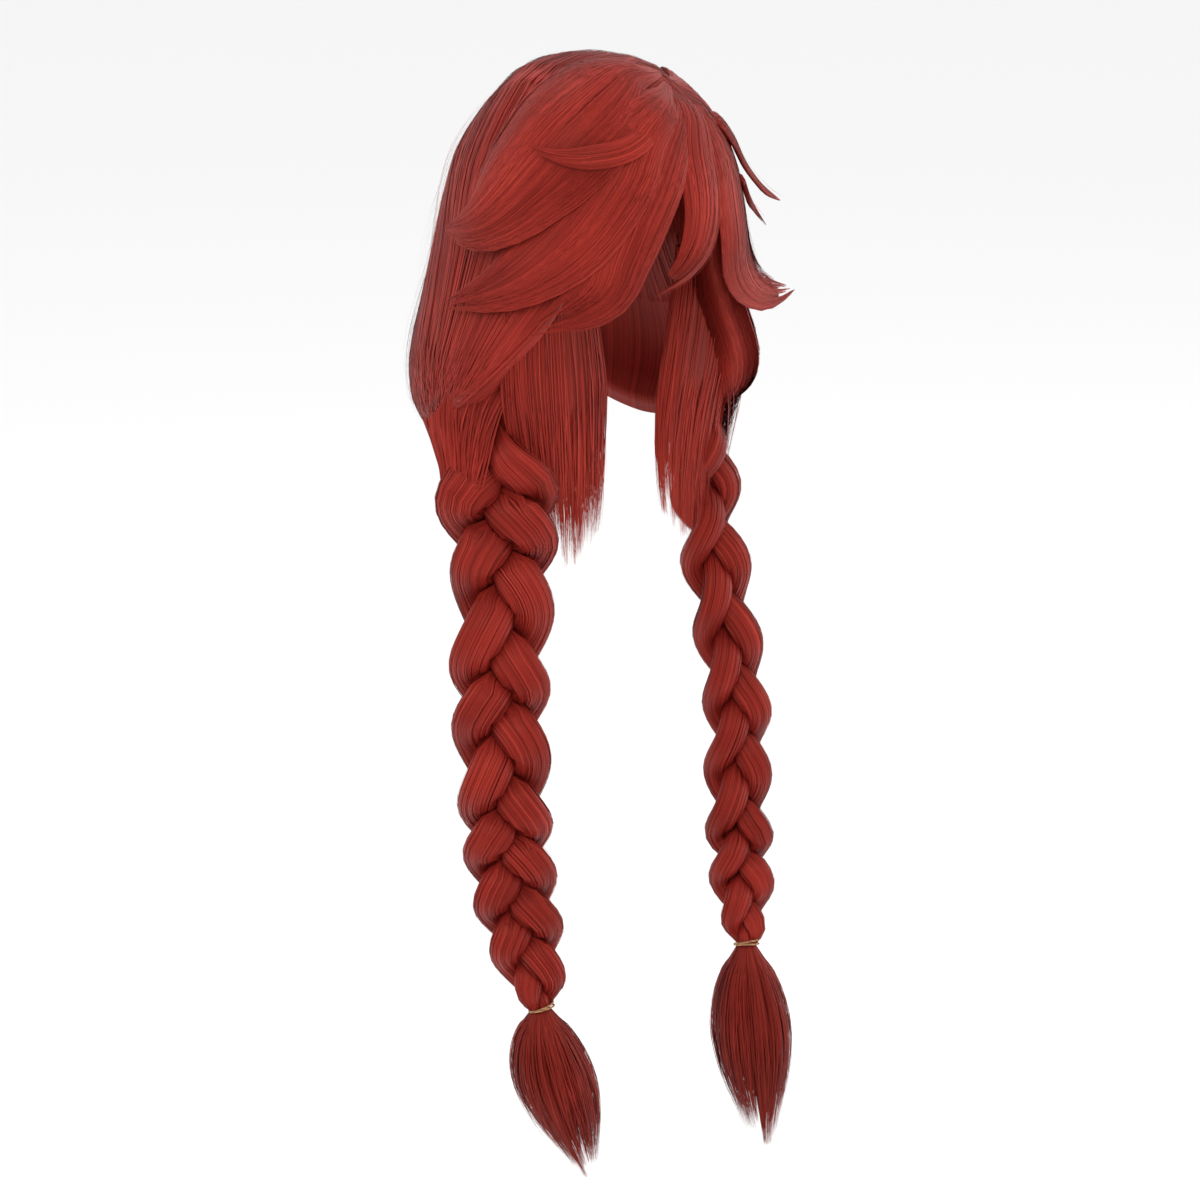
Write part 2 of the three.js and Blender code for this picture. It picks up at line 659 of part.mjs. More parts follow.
for (const name of Object.keys(sides)) {
  addSolid(`side_lock_${name}`, cutBy(sideLock(name), placed), hairMaterial(hairRed, 0.45));
  const under = [...placed, sideLock(name, clearance)];
  ["a", "b", "c"].forEach((letter, order) => {
    const strand = cutBy(braidStrand(name, order), under);
    addSolid(`braid_${name}_strand_${letter}`, strand, hairMaterial(hairRed, 0.5));
    under.push(braidStrand(name, order, clearance).add(braidStrand(name, order)));
  });
  addSolid(`tail_${name}`, cutBy(tail(name), under), hairMaterial(hairRed, 0.5));

  const tie = new THREE.Mesh(hairTie(), hairMaterial(tieTan, 0.6));
  const { at, along } = tieFrame(name);
  tie.name = `hair_tie_${name}`;
  tie.position.copy(at);
  tie.quaternion.setFromUnitVectors(new THREE.Vector3(0, 1, 0), along);
  group.add(tie);
}

export default group;
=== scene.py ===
import math

import bmesh
import bpy
import numpy as np
from mathutils import Matrix, Vector


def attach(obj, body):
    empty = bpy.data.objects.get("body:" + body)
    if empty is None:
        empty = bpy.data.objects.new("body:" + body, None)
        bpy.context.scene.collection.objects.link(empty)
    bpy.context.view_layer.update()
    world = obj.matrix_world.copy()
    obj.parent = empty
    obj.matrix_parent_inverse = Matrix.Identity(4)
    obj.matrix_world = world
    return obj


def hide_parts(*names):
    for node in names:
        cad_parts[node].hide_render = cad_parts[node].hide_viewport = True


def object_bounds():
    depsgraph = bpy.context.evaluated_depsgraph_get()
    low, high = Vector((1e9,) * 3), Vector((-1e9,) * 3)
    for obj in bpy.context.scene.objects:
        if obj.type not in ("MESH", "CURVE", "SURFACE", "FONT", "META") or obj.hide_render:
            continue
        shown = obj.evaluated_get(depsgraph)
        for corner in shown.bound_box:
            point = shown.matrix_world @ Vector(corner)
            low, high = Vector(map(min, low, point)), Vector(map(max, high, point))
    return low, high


# A pigtail wig in metres, +Z up. The wearer faces -Y, and +X is the wearer's left.
# Locks are laid out in degrees round from the face and in shares of the hair's drop, as in the part's source.

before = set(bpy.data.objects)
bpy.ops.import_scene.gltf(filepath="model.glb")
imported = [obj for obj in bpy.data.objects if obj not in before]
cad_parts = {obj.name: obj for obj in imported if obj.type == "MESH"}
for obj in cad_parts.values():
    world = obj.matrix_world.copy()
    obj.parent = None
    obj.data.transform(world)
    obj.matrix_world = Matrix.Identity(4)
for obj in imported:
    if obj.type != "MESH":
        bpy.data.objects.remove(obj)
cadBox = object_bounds()
dice = np.random.default_rng(41)
print("frame loaded")


def table(names, *rows):
    return [dict(zip(names.split(), row)) for row in rows]


def unit(arrows):
    return arrows / np.maximum(np.linalg.norm(arrows, axis=-1, keepdims=True), 1e-12)


def smooth(low, high, at):  # 0 below low, 1 above high
    t = np.clip((at - low) / (high - low), 0, 1)
    return t * t * (3 - 2 * t)


def reader(rows, key):  # smooth reading of a table, which keeps the slopes of its rows
    at = np.array([row[key] for row in rows], float)

    def read(where, column):
        values = np.array([row[column] for row in rows], float)
        slopes = np.empty_like(values)
        slopes[1:-1] = (values[2:] - values[:-2]) / (at[2:] - at[:-2])
        slopes[0] = (values[1] - values[0]) / (at[1] - at[0])
        slopes[-1] = (values[-1] - values[-2]) / (at[-1] - at[-2])
        where = np.clip(where, at[0], at[-1])
        low = np.clip(np.searchsorted(at, where) - 1, 0, len(at) - 2)
        span = at[low + 1] - at[low]
        t = (where - at[low]) / span
        rise = (1 + 2 * t) * (1 - t) ** 2 * values[low] + t * t * (3 - 2 * t) * values[low + 1]
        return rise + span * t * (1 - t) * ((1 - t) * slopes[low] - t * slopes[low + 1])
    return read


def turned(around, radius, z):  # the spot at a height, turned round from the face
    around, radius, z = np.broadcast_arrays(around, radius, z)
    return np.stack([radius * np.sin(around), -radius * np.cos(around), z], -1)


# camera, lights and floor
view = {
    "azimuth": -45.0, "elevation": 15.5, "distance": 3.424,
    "target": (0.0058, -0.0058, -0.43), "lens": 36 * 4175 / 1200,
}


def placeCamera():
    around, up = math.radians(view["azimuth"]), math.radians(view["elevation"])
    back = Vector((math.sin(around) * math.cos(up), -math.cos(around) * math.cos(up), math.sin(up)))
    camera = bpy.data.objects.new("camera", bpy.data.cameras.new("camera"))
    camera.data.sensor_width = 36
    camera.data.lens = view["lens"]
    camera.data.clip_end = 50
    camera.location = Vector(view["target"]) + back * view["distance"]
    camera.rotation_euler = back.to_track_quat("Z", "Y").to_euler()
    bpy.context.collection.objects.link(camera)
    bpy.context.scene.camera = camera


studio = {
    "floorDrop": 0.06, "floorSize": 14.0, "floorColour": "#f4f4f4", "floorRoughness": 0.9,
    "skyColour": "#ffffff", "skyStrength": 1.0, "look": "Standard", "aim": (0, 0, -0.35),
    "lamps": [  # place, size and power in watts
        ("keyLamp", (-2.0, -2.0, 1.9), 1.6, 26),
        ("fillLamp", (1.6, -2.8, 0.2), 2.0, 13),
        ("topLamp", (-0.3, 0.5, 2.0), 1.2, 10),
        ("backLamp", (-2.6, 0.8, 1.0), 1.6, 16),
        ("sideLamp", (2.6, -1.4, 0.2), 1.6, 16),
    ],
}


def linear(colour):  # sRGB hex to linear
    parts = [int(colour[i:i + 2], 16) / 255 for i in (1, 3, 5)]
    return [p / 12.92 if p <= 0.04045 else ((p + 0.055) / 1.055) ** 2.4 for p in parts] + [1.0]


def addNode(tree, kind, settings=None, links=None):  # a node with its settings and inputs
    node = tree.nodes.new(kind)
    for name, value in (settings or {}).items():
        setattr(node, name, value)
    for name, source in (links or {}).items():
        if isinstance(source, bpy.types.NodeSocket):
            tree.links.new(source, node.inputs[name])
        else:
            node.inputs[name].default_value = source
    return node


def newMaterial(name):
    material = bpy.data.materials.new(name)
    material.use_nodes = True
    material.node_tree.nodes.clear()
    return material, material.node_tree


def setStops(ramp, stops):  # colour ramp from (place, hex) pairs
    elements = ramp.color_ramp.elements
    while len(elements) < len(stops):
        elements.new(0.5)
    for element, (place, colour) in zip(elements, stops):
        element.position = place
        element.color = linear(colour)


def buildStudio():
    material, tree = newMaterial("paintedStudioFloor")
    shader = addNode(tree, "ShaderNodeBsdfPrincipled", links={
        "Base Color": linear(studio["floorColour"]), "Roughness": studio["floorRoughness"]})
    addNode(tree, "ShaderNodeOutputMaterial", links={"Surface": shader.outputs[0]})
    shape = bmesh.new()
    bmesh.ops.create_grid(shape, x_segments=1, y_segments=1, size=studio["floorSize"])
    bmesh.ops.translate(shape, vec=(0, 0, cadBox[0][2] - studio["floorDrop"]), verts=shape.verts)
    mesh = bpy.data.meshes.new("floor")
    shape.to_mesh(mesh)
    shape.free()
    mesh.materials.append(material)
    floor = bpy.data.objects.new("floor", mesh)
    bpy.context.collection.objects.link(floor)
    bpy.context.scene.view_settings.view_transform = studio["look"]
    world = bpy.data.worlds.new("studioSky")
    bpy.context.scene.world = world
    world.use_nodes = True
    sky = world.node_tree.nodes["Background"]
    sky.inputs["Color"].default_value = linear(studio["skyColour"])
    sky.inputs["Strength"].default_value = studio["skyStrength"]
    for name, place, size, power in studio["lamps"]:
        lamp = bpy.data.lights.new(name, "AREA")
        lamp.size = size
        lamp.energy = power
        holder = bpy.data.objects.new(name, lamp)
        holder.location = place
        holder.rotation_euler = (Vector(place) - Vector(studio["aim"])).to_track_quat("Z", "Y").to_euler()
        bpy.context.collection.objects.link(holder)


placeCamera()
buildStudio()
print("camera and studio ready")

# materials
fibre = {
    "deep": "#671812", "mid": "#84221c", "bright": "#9f3026",
    # the next two reds, with deep between them, colour the rods under the strands darker than the strands:
    # painted shade in the gaps between strands
    "paintedShadeDeep": "#631712", "paintedShadeBright": "#84221c",
    "roughness": 0.46, "ior": 1.5, "anisotropy": 0.4, "gleam": 0.32, "gleamTint": "#ff9884",
    "tonesPerMetre": 4.0, "streaksPerMetre": 12.0, "streakMm": 0.4, "streakShare": 0.25,
    "broadScale": 18.0, "broadShare": 0.35, "bumpMm": 0.08, "bumpStrength": 0.3,
}


def hairMaterial(name, deep, mid, bright):
    # heat-set polyester fibre, drawn and combed: a satin gleam across the hairs, their reds slightly mixed
    material, tree = newMaterial(name)
    place = addNode(tree, "ShaderNodeUVMap", {"uv_map": "flow"})
    slow = addNode(tree, "ShaderNodeMapping", links={
        "Vector": place.outputs[0], "Scale": (1.0, fibre["tonesPerMetre"], 1.0)})
    tone = addNode(tree, "ShaderNodeTexNoise", links={"Vector": slow.outputs[0], "Scale": 1.0, "Detail": 1.0})
    fine = addNode(tree, "ShaderNodeMapping", links={
        "Vector": place.outputs[0], "Scale": (1 / fibre["streakMm"], fibre["streaksPerMetre"], 1.0)})
    streak = addNode(tree, "ShaderNodeTexNoise", links={
        "Vector": fine.outputs[0], "Scale": 1.0, "Detail": 2.0})
    spot = addNode(tree, "ShaderNodeTexCoord")
    broad = addNode(tree, "ShaderNodeTexNoise", links={
        "Vector": spot.outputs["Object"], "Scale": fibre["broadScale"], "Detail": 1.0})
    ends = addNode(tree, "ShaderNodeAttribute", {"attribute_name": "ends"})
    first = addNode(tree, "ShaderNodeMath", {"operation": "MULTIPLY_ADD"}, {
        0: streak.outputs[0], 1: fibre["streakShare"], 2: tone.outputs[0]})
    second = addNode(tree, "ShaderNodeMath", {"operation": "MULTIPLY_ADD"}, {
        0: broad.outputs[0], 1: fibre["broadShare"], 2: first.outputs[0]})
    shade = addNode(tree, "ShaderNodeMath", {"operation": "ADD"}, {
        0: second.outputs[0], 1: ends.outputs["Fac"]})
    ramp = addNode(tree, "ShaderNodeValToRGB", links={"Fac": shade.outputs[0]})
    setStops(ramp, [(0.55, deep), (0.8, mid), (1.0, bright)])
    bump = addNode(tree, "ShaderNodeBump", links={
        "Height": streak.outputs[0], "Strength": fibre["bumpStrength"], "Distance": fibre["bumpMm"] / 1000})
    across = addNode(tree, "ShaderNodeTangent", {"direction_type": "UV_MAP", "uv_map": "flow"})
    shader = addNode(tree, "ShaderNodeBsdfPrincipled", links={
        "Base Color": ramp.outputs[0], "Normal": bump.outputs[0], "Tangent": across.outputs[0],
        "Roughness": fibre["roughness"], "IOR": fibre["ior"], "Anisotropic": fibre["anisotropy"],
        "Specular IOR Level": fibre["gleam"], "Specular Tint": linear(fibre["gleamTint"]),
    })
    addNode(tree, "ShaderNodeOutputMaterial", links={"Surface": shader.outputs[0]})
    return material


strandHair = hairMaterial("combedHairFibre", fibre["deep"], fibre["mid"], fibre["bright"])
# a darker copy of the hair for the rods under the strands: painted shade where they show between strands
coreHairPaintedShade = hairMaterial("coreHairFibrePaintedShade", fibre["paintedShadeDeep"], fibre["deep"], fibre["paintedShadeBright"])

cap = {"net": "#370f0d", "weft": "#3f120f", "weftEveryMm": 9.0, "roughness": 0.85}


def capMaterial():  # knitted cap net with rows of sewn wefts, matt and dark
    material, tree = newMaterial("knittedCapNet")
    spot = addNode(tree, "ShaderNodeTexCoord")
    rows = addNode(tree, "ShaderNodeTexWave", {"bands_direction": "Z"}, {
        "Vector": spot.outputs["Object"], "Scale": 1000 / cap["weftEveryMm"] / 6.3,
        "Distortion": 0.6, "Detail": 1.0})
    ramp = addNode(tree, "ShaderNodeValToRGB", links={"Fac": rows.outputs["Fac"]})
    setStops(ramp, [(0.35, cap["net"]), (0.75, cap["weft"])])
    bump = addNode(tree, "ShaderNodeBump", links={
        "Height": rows.outputs["Fac"], "Strength": 0.2, "Distance": 0.0005})
    shader = addNode(tree, "ShaderNodeBsdfPrincipled", links={
        "Base Color": ramp.outputs[0], "Normal": bump.outputs[0], "Roughness": cap["roughness"]})
    addNode(tree, "ShaderNodeOutputMaterial", links={"Surface": shader.outputs[0]})
    return material


elastic = {"dark": "#7d5430", "light": "#a87c50", "ribEveryMm": 1.1, "roughness": 0.6}


def elasticMaterial():  # braided elastic over rubber, with a fine rib across it
    material, tree = newMaterial("braidedElastic")
    place = addNode(tree, "ShaderNodeTexCoord")
    ribs = addNode(tree, "ShaderNodeTexWave", {"bands_direction": "DIAGONAL"}, {
        "Vector": place.outputs["Object"], "Scale": 1000 / elastic["ribEveryMm"] / 6.3, "Distortion": 1.0})
    ramp = addNode(tree, "ShaderNodeValToRGB", links={"Fac": ribs.outputs["Fac"]})
    setStops(ramp, [(0.2, elastic["dark"]), (0.7, elastic["light"])])
    bump = addNode(tree, "ShaderNodeBump", links={
        "Height": ribs.outputs["Fac"], "Strength": 0.4, "Distance": 0.0003})
    shader = addNode(tree, "ShaderNodeBsdfPrincipled", links={
        "Base Color": ramp.outputs[0], "Normal": bump.outputs[0], "Roughness": elastic["roughness"]})
    addNode(tree, "ShaderNodeOutputMaterial", links={"Surface": shader.outputs[0]})
    return material


capNet = capMaterial()
tieElastic = elasticMaterial()
print("materials ready")


# meshes
def addPiece(name, mesh, slot, *nodes):
    piece = bpy.data.objects.new(name, mesh)
    bpy.context.collection.objects.link(piece)
    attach(piece, "root")
    if nodes:
        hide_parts(*nodes)
    return piece


strandRoll = 0.08  # how far strands are turned about their own length, in radians


def strandMesh(name, paths, outs, halves, ends=None, loose=1.0):
    # hundreds of flat ribbons in one mesh; paths and outs are strands x steps x 3, and ends shades them along
    count, steps = paths.shape[:2]
    along = unit(np.gradient(paths, axis=1))
    across = unit(np.cross(along, outs))
    out = unit(np.cross(across, along))
    roll = dice.normal(0, strandRoll * loose, (count, 1, 1))
    half = (across * np.cos(roll) + out * np.sin(roll)) * halves[..., None]
    points = np.stack([paths - half, paths + half], 2).reshape(-1, 3)
    base = (np.arange(count)[:, None] * steps + np.arange(steps)[None, :]) * 2
    here, there = base[:, :-1], base[:, 1:]
    corners = np.stack([here, here + 1, there + 1, there], -1).reshape(-1).astype(np.int32)
    starts = np.arange(0, len(corners), 4, dtype=np.int32)
    mesh = bpy.data.meshes.new(name)
    mesh.vertices.add(len(points))
    mesh.vertices.foreach_set("co", points.astype(np.float32).reshape(-1))
    mesh.loops.add(len(corners))
    mesh.polygons.add(len(starts))
    mesh.polygons.foreach_set("loop_start", starts)
    mesh.polygons.foreach_set("vertices", corners)
    length = np.cumsum(np.linalg.norm(np.diff(paths, axis=1), axis=-1), 1)
    length = np.concatenate([np.zeros((count, 1)), length], 1)
    shade = dice.uniform(0, 300, count)
    u = np.broadcast_to(shade[:, None, None] + np.array([0.0, 1.0]), (count, steps, 2))
    v = np.broadcast_to((length + dice.uniform(0, 3, (count, 1)))[..., None], u.shape)
    spots = np.stack([u, v], -1).reshape(-1, 2)
    layer = mesh.uv_layers.new(name="flow")
    layer.data.foreach_set("uv", spots[corners].astype(np.float32).reshape(-1))
    if ends is not None:
        tint = mesh.attributes.new("ends", "FLOAT", "POINT")
        tint.data.foreach_set("value", np.repeat(ends, 2, axis=1).astype(np.float32).reshape(-1))
    mesh.polygons.foreach_set("use_smooth", np.ones(len(starts), bool))
    mesh.materials.append(strandHair)
    mesh.update(calc_edges=True)
    mesh.validate()
    return mesh


def packedRod(name, sides, steps, place, strandEvery=0.0012):
    # the imported hair under the strands, in the darker red that paints shade into the gaps between them: a
    # closed rod whose rings are placed by place(share, across, out)
    shape = bmesh.new()
    bmesh.ops.create_cone(shape, cap_ends=True, segments=sides, radius1=1, radius2=1, depth=1)
    upright = [edge for edge in shape.edges if abs(edge.verts[0].co.z - edge.verts[1].co.z) > 0.5]
    bmesh.ops.subdivide_edges(shape, edges=upright, cuts=steps - 1)
    shape.verts.ensure_lookup_table()
    raw = np.array([vert.co[:] for vert in shape.verts])
    share = 0.5 - raw[:, 2]
    placed = place(share, raw[:, 0], raw[:, 1])
    turn = np.arctan2(raw[:, 1], raw[:, 0])
    middle = place(np.linspace(0, 1, 30), np.zeros(30), np.zeros(30))
    length = np.linalg.norm(np.diff(middle, axis=0), axis=1).sum()
    rounds = np.linspace(0, math.tau, 24)
    rim = place(np.full(24, 0.4), np.cos(rounds), np.sin(rounds))
    lanes = np.linalg.norm(np.diff(rim, axis=0), axis=1).sum() / strandEvery
    layer = shape.loops.layers.uv.new("flow")
    for face in shape.faces:
        face.smooth = True
        turns = [turn[loop.vert.index] for loop in face.loops]
        high = max(turns)
        for loop, at in zip(face.loops, turns):
            at = at + math.tau if high - at > math.pi else at
            loop[layer].uv = (at / math.tau * lanes, share[loop.vert.index] * length)
    for vert, spot in zip(shape.verts, placed):
        vert.co = spot
    bmesh.ops.recalc_face_normals(shape, faces=shape.faces)
    mesh = bpy.data.meshes.new(name)
    shape.to_mesh(mesh)
    shape.free()
    mesh.materials.append(coreHairPaintedShade)
    return mesh


def taper(steps, root=0.35, tip=0.06, since=0.6):  # width of a strand along its length
    t = np.linspace(0, 1, steps)
    return np.minimum(root + (1 - root) * smooth(0, 0.12, t), 1 - (1 - tip) * smooth(since, 1.0, t))


def wander(count, steps, waves, size):  # slow random drift along each strand
    t = np.linspace(0, 1, steps)
    drift = np.zeros((count, steps))
    for wave in range(1, waves + 1):
        height = dice.normal(0, size / wave, (count, 1))
        drift += height * np.sin(math.pi * wave * t + dice.uniform(0, math.tau, (count, 1)))
    return drift


# hair form, the surface that all locks on the crown lie on
hairForm = {
    "lift": 0.02, "breadth": 0.28, "front": 0.12, "back": 0.143, "drop": 0.36, "leftFullness": 0.13,
    "rows": table(
        "drop side front back full",
        (0.0, 0.0, 0.0, 0.0, 0), (0.033, 0.357, 0.467, 0.38, 0), (0.083, 0.479, 0.65, 0.53, 0),
        (0.136, 0.571, 0.808, 0.65, 0), (0.225, 0.686, 0.95, 0.81, 0), (0.292, 0.736, 0.992, 0.865, 0),
        (0.394, 0.793, 1.0, 0.93, 0.05), (0.483, 0.857, 0.933, 0.965, 0.25), (0.575, 0.93, 0.883, 1, 0.6),
        (0.653, 0.995, 0.867, 1.03, 0.9), (0.719, 1.02, 0.867, 1.03, 1.0), (0.786, 1.0, 0.867, 0.99, 0.9),
        (0.878, 0.871, 0.867, 0.811, 0.5), (1.0, 0.714, 0.867, 0.699, 0.1)),
    "rim": table(
        "around right left", (0, 0.217, 0.217), (30, 0.228, 0.228), (45, 0.306, 0.306), (56, 0.472, 0.56),
        (70, 0.589, 0.77), (83, 0.683, 0.85), (92, 0.736, 0.87), (115, 0.861, 0.87), (140, 0.806, 0.806),
        (160, 0.681, 0.681), (180, 0.611, 0.611)),
}
for row in hairForm["rows"]:
    row["depth"] = math.sqrt(row["drop"])
readForm = reader(hairForm["rows"], "depth")
readRim = reader(hairForm["rim"], "around")


def rimShare(around):  # drop of the crown's lower edge, which hangs lower on the wearer's left
    degrees = np.degrees(np.arctan2(np.sin(around), np.cos(around)))
    return np.where(degrees < 0, readRim(np.abs(degrees), "right"), readRim(np.abs(degrees), "left"))


def formRadius(around, depth):
    side = readForm(depth, "side") * hairForm["breadth"] / 2 + 1e-7
    front = readForm(depth, "front") * hairForm["front"] + 1e-7
    back = readForm(depth, "back") * hairForm["back"] + 1e-7
    ahead = np.cos(around)
    oval = 1 / np.hypot(np.sin(around) / side, ahead / np.where(ahead > 0, front, back))
    return oval * (1 + hairForm["leftFullness"] * readForm(depth, "full") * np.maximum(0, np.sin(around)) ** 2)


def onForm(around, depth):
    heading = np.where(depth < 0, around + math.pi, around)
    reach = np.abs(depth)
    return turned(heading, formRadius(heading, reach), hairForm["lift"] - hairForm["drop"] * reach * reach)


def formFrame(around, depth):  # round the form, down it and out of it
    step = 0.01
    roundIt = (onForm(around + step, depth) - onForm(around - step, depth)) / (2 * step)
    down = (onForm(around, depth + step) - onForm(around, depth - step)) / (2 * step)
    return roundIt, down, unit(np.cross(down, roundIt))


def hairPoint(around, depth, lift):
    return onForm(around, depth) + formFrame(around, depth)[2] * np.asarray(lift)[..., None]


# crown: a shell over the head, and strands combed from the parting to the braids
crown = {
    "headBreadth": 0.152, "headFront": 0.092, "headBack": 0.098, "headWidestDrop": 0.095, "wall": 0.038,
    "wallFrom": 0.5, "inset": 0.0012, "netUpTo": 0.6, "middle": (0.0, 0.01, -0.13),
    "strands": 3200, "steps": 16, "fallSteps": 4, "strandHalf": 0.00064, "lift": 0.001, "strays": 70,
    "tuck": 0.02, "rimDepth": 0.012,
    "under": 600, "underSteps": 16, "underRight": (72, 58), "underLeft": (56, 70),  # first degree, more degrees
    "underInset": 0.003, "underHidden": (0.018, 0.03), "underReaches": 0.2, "underSwell": 0.006,
    "lining": 850, "liningSteps": 14, "liningFrom": 0.4, "liningAround": (46, 140),
    "turnFrom": 0.8, "turnTo": 0.97,  # shares of the wall's drop over which the lining turns outwards
    "edge": 420, "edgeSteps": 20, "edgeBulge": 0.008, "edgeRight": (43, 66), "edgeLeft": (43, 48),
    "edgeBack": 0.94,  # the share of the wall's drop from which its lower edge is seen to face down
    "parting": table(
        "at around depth", (0.0, 20, 0.44), (0.1, 22, 0.3), (0.22, 30, 0.12), (0.34, 178, 0.2),
        (0.5, 180, 0.42), (0.75, 180, 0.6), (1.0, 180, 0.76)),
    "gatherRight": table(
        "at around drop", (0.0, 94, 0.76), (0.25, 102, 0.81), (0.5, 110, 0.85), (0.75, 120, 0.86),
        (1.0, 134, 0.84)),
    "gatherLeft": table(
        "at around drop", (0.0, 62, 0.62), (0.2, 70, 0.77), (0.4, 84, 0.85), (0.6, 98, 0.87),
        (0.8, 112, 0.87), (1.0, 130, 0.85)),
}


def headRadius(around, drop):
    below = np.minimum(drop / crown["headWidestDrop"], 1)
    share = np.sqrt(np.maximum(0, 1 - (1 - below) ** 2))
    ahead = np.cos(around)
    length = np.where(ahead > 0, crown["headFront"], crown["headBack"])
    oval = 1 / np.hypot(np.sin(around) * 2 / crown["headBreadth"], ahead / length)
    return share * oval


def innerWall(around, share):  # the hollow's side of the shell, from its top at 0 to its lower edge at 1
    drop = (rimShare(around) * hairForm["drop"] - hairForm["lift"]) * share ** 2
    depth = np.sqrt((drop + hairForm["lift"]) / hairForm["drop"])
    walled = (formRadius(around, depth) - crown["wall"]) * np.minimum(1, (share / crown["wallFrom"]) ** 2)
    return turned(around, np.where(share > 1e-3, np.maximum(headRadius(around, drop), walled), 0), -drop)


def outerWall(around, share):
    return hairPoint(around, np.maximum(share * np.sqrt(rimShare(around)), 0.02), -crown["inset"])


def crownShell():
    shape = bmesh.new()
    bmesh.ops.create_uvsphere(shape, u_segments=96, v_segments=72, radius=1)
    shape.verts.ensure_lookup_table()
    raw = np.array([vert.co[:] for vert in shape.verts])
    around = np.arctan2(raw[:, 0], -raw[:, 1])
    polar = np.arccos(np.clip(raw[:, 2], -1, 1)) / (math.pi / 2)
    share = np.minimum(polar, 2 - polar)
    outer, inner = outerWall(around, share), innerWall(around, share)
    outer[share < 1e-3] = (0, 0, hairForm["lift"] - crown["inset"])
    placed = np.where((raw[:, 2] > 0.001)[:, None], outer, inner)
    edge = np.abs(raw[:, 2]) <= 0.001
    placed[edge] = 0.5 * (outer[edge] + inner[edge])
    layer = shape.loops.layers.uv.new("flow")
    for face in shape.faces:
        face.smooth = True
        inside = sum(raw[vert.index, 2] for vert in face.verts) < -0.05
        face.material_index = int(inside and share[face.verts[0].index] < crown["netUpTo"])
        turns = [around[loop.vert.index] for loop in face.loops]
        high = max(turns)
        for loop, at in zip(face.loops, turns):
            at = at + math.tau if high - at > math.pi else at
            loop[layer].uv = (at / math.tau * 500, share[loop.vert.index] * 0.35)
    for vert, spot in zip(shape.verts, placed):
        vert.co = spot
    bmesh.ops.recalc_face_normals(shape, faces=shape.faces)
    mesh = bpy.data.meshes.new("crownShell")
    shape.to_mesh(mesh)
    shape.free()
    mesh.materials.append(strandHair)
    mesh.materials.append(capNet)
    return mesh


def ontoForm(arrows):  # where rays from the hollow's middle leave the hair form
    middle = np.array(crown["middle"])
    low, high = np.zeros(arrows.shape[:-1]), np.full(arrows.shape[:-1], 0.4)
    for _ in range(26):
        half = (low + high) / 2
        spot = middle + arrows * half[..., None]
        drop = (hairForm["lift"] - spot[..., 2]) / hairForm["drop"]
        around = np.arctan2(spot[..., 0], -spot[..., 1])
        radius = formRadius(around, np.sqrt(np.clip(drop, 1e-6, 1)))
        inside = (drop > 0) & (np.hypot(spot[..., 0], spot[..., 1]) < radius)
        low, high = np.where(inside, half, low), np.where(inside, high, half)
    spot = middle + arrows * low[..., None]
    drop = np.clip((hairForm["lift"] - spot[..., 2]) / hairForm["drop"], 1e-5, 1)
    return np.arctan2(spot[..., 0], -spot[..., 1]), np.sqrt(drop)


def crownStrands(side):
    label = "left" if side > 0 else "right"
    count, steps, more = crown["strands"] + crown["strays"], crown["steps"], crown["fallSteps"]
    readPart, readGather = reader(crown["parting"], "at"), reader(crown["gather" + label.capitalize()], "at")
    at = np.sort(dice.uniform(0, 1, count))
    start = onForm(np.radians(readPart(at, "around")), np.abs(readPart(at, "depth")))
    toward = np.clip(at + dice.normal(0, 0.02, count), 0, 1)
    end = onForm(side * np.radians(readGather(toward, "around")), np.sqrt(readGather(toward, "drop")))
    middle = np.array(crown["middle"])
    a, b = unit(start - middle)[:, None], unit(end - middle)[:, None]
    angle = np.arccos(np.clip((a * b).sum(-1, keepdims=True), -0.995, 0.995))
    s = np.linspace(0, 1, steps)[None, :, None] * dice.uniform(0.94, 1.0, (count, 1, 1))
    around, depth = ontoForm(unit((np.sin((1 - s) * angle) * a + np.sin(s * angle) * b) / np.sin(angle)))
    rim = np.sqrt(rimShare(around)) * (1 - crown["rimDepth"] * dice.uniform(0, 1, (count, 1)))
    depth = np.minimum(depth, rim)
    lift = dice.uniform(-0.3, 1.0, (count, 1)) * crown["lift"] + wander(count, steps, 3, 0.0004)
    stray = np.zeros((count, 1), bool)
    stray[dice.choice(count, crown["strays"], replace=False)] = True
    lift = lift + stray * np.sin(np.linspace(0, math.pi, steps))[None] * dice.uniform(0.002, 0.008, (count, 1))
    around = around + wander(count, steps, 2, 0.008)
    paths = hairPoint(around, depth, lift)
    outs = formFrame(around, depth)[2]
    # at the lower edge the strands turn in under the form
    reach = crown["tuck"] * dice.uniform(0.5, 1.0, (count, 1))
    target = paths[:, -1] - outs[:, -1] * reach - reach * np.array([0, 0, 0.2])
    leave = unit(paths[:, -1] - paths[:, -2]) * reach
    arrive = -outs[:, -1] * reach
    t = np.linspace(0, 1, more + 1)[1:][None, :, None]
    fall = ((1 + 2 * t) * (1 - t) ** 2 * paths[:, -1:] + t * t * (3 - 2 * t) * target[:, None]
            + t * (1 - t) ** 2 * leave[:, None] - t * t * (1 - t) * arrive[:, None])
    turnedIn = unit(outs[:, -1:] * (1 - t) + unit(leave)[:, None] * t)
    paths, outs = np.concatenate([paths, fall], 1), np.concatenate([outs, turnedIn], 1)
    girth = np.where(stray, 0.25, dice.uniform(0.6, 1.2, (count, 1)))
    halves = crown["strandHalf"] * girth * taper(steps + more, 0.5, 0.4, 0.9)
    return strandMesh("crownStrands", paths, outs, halves)


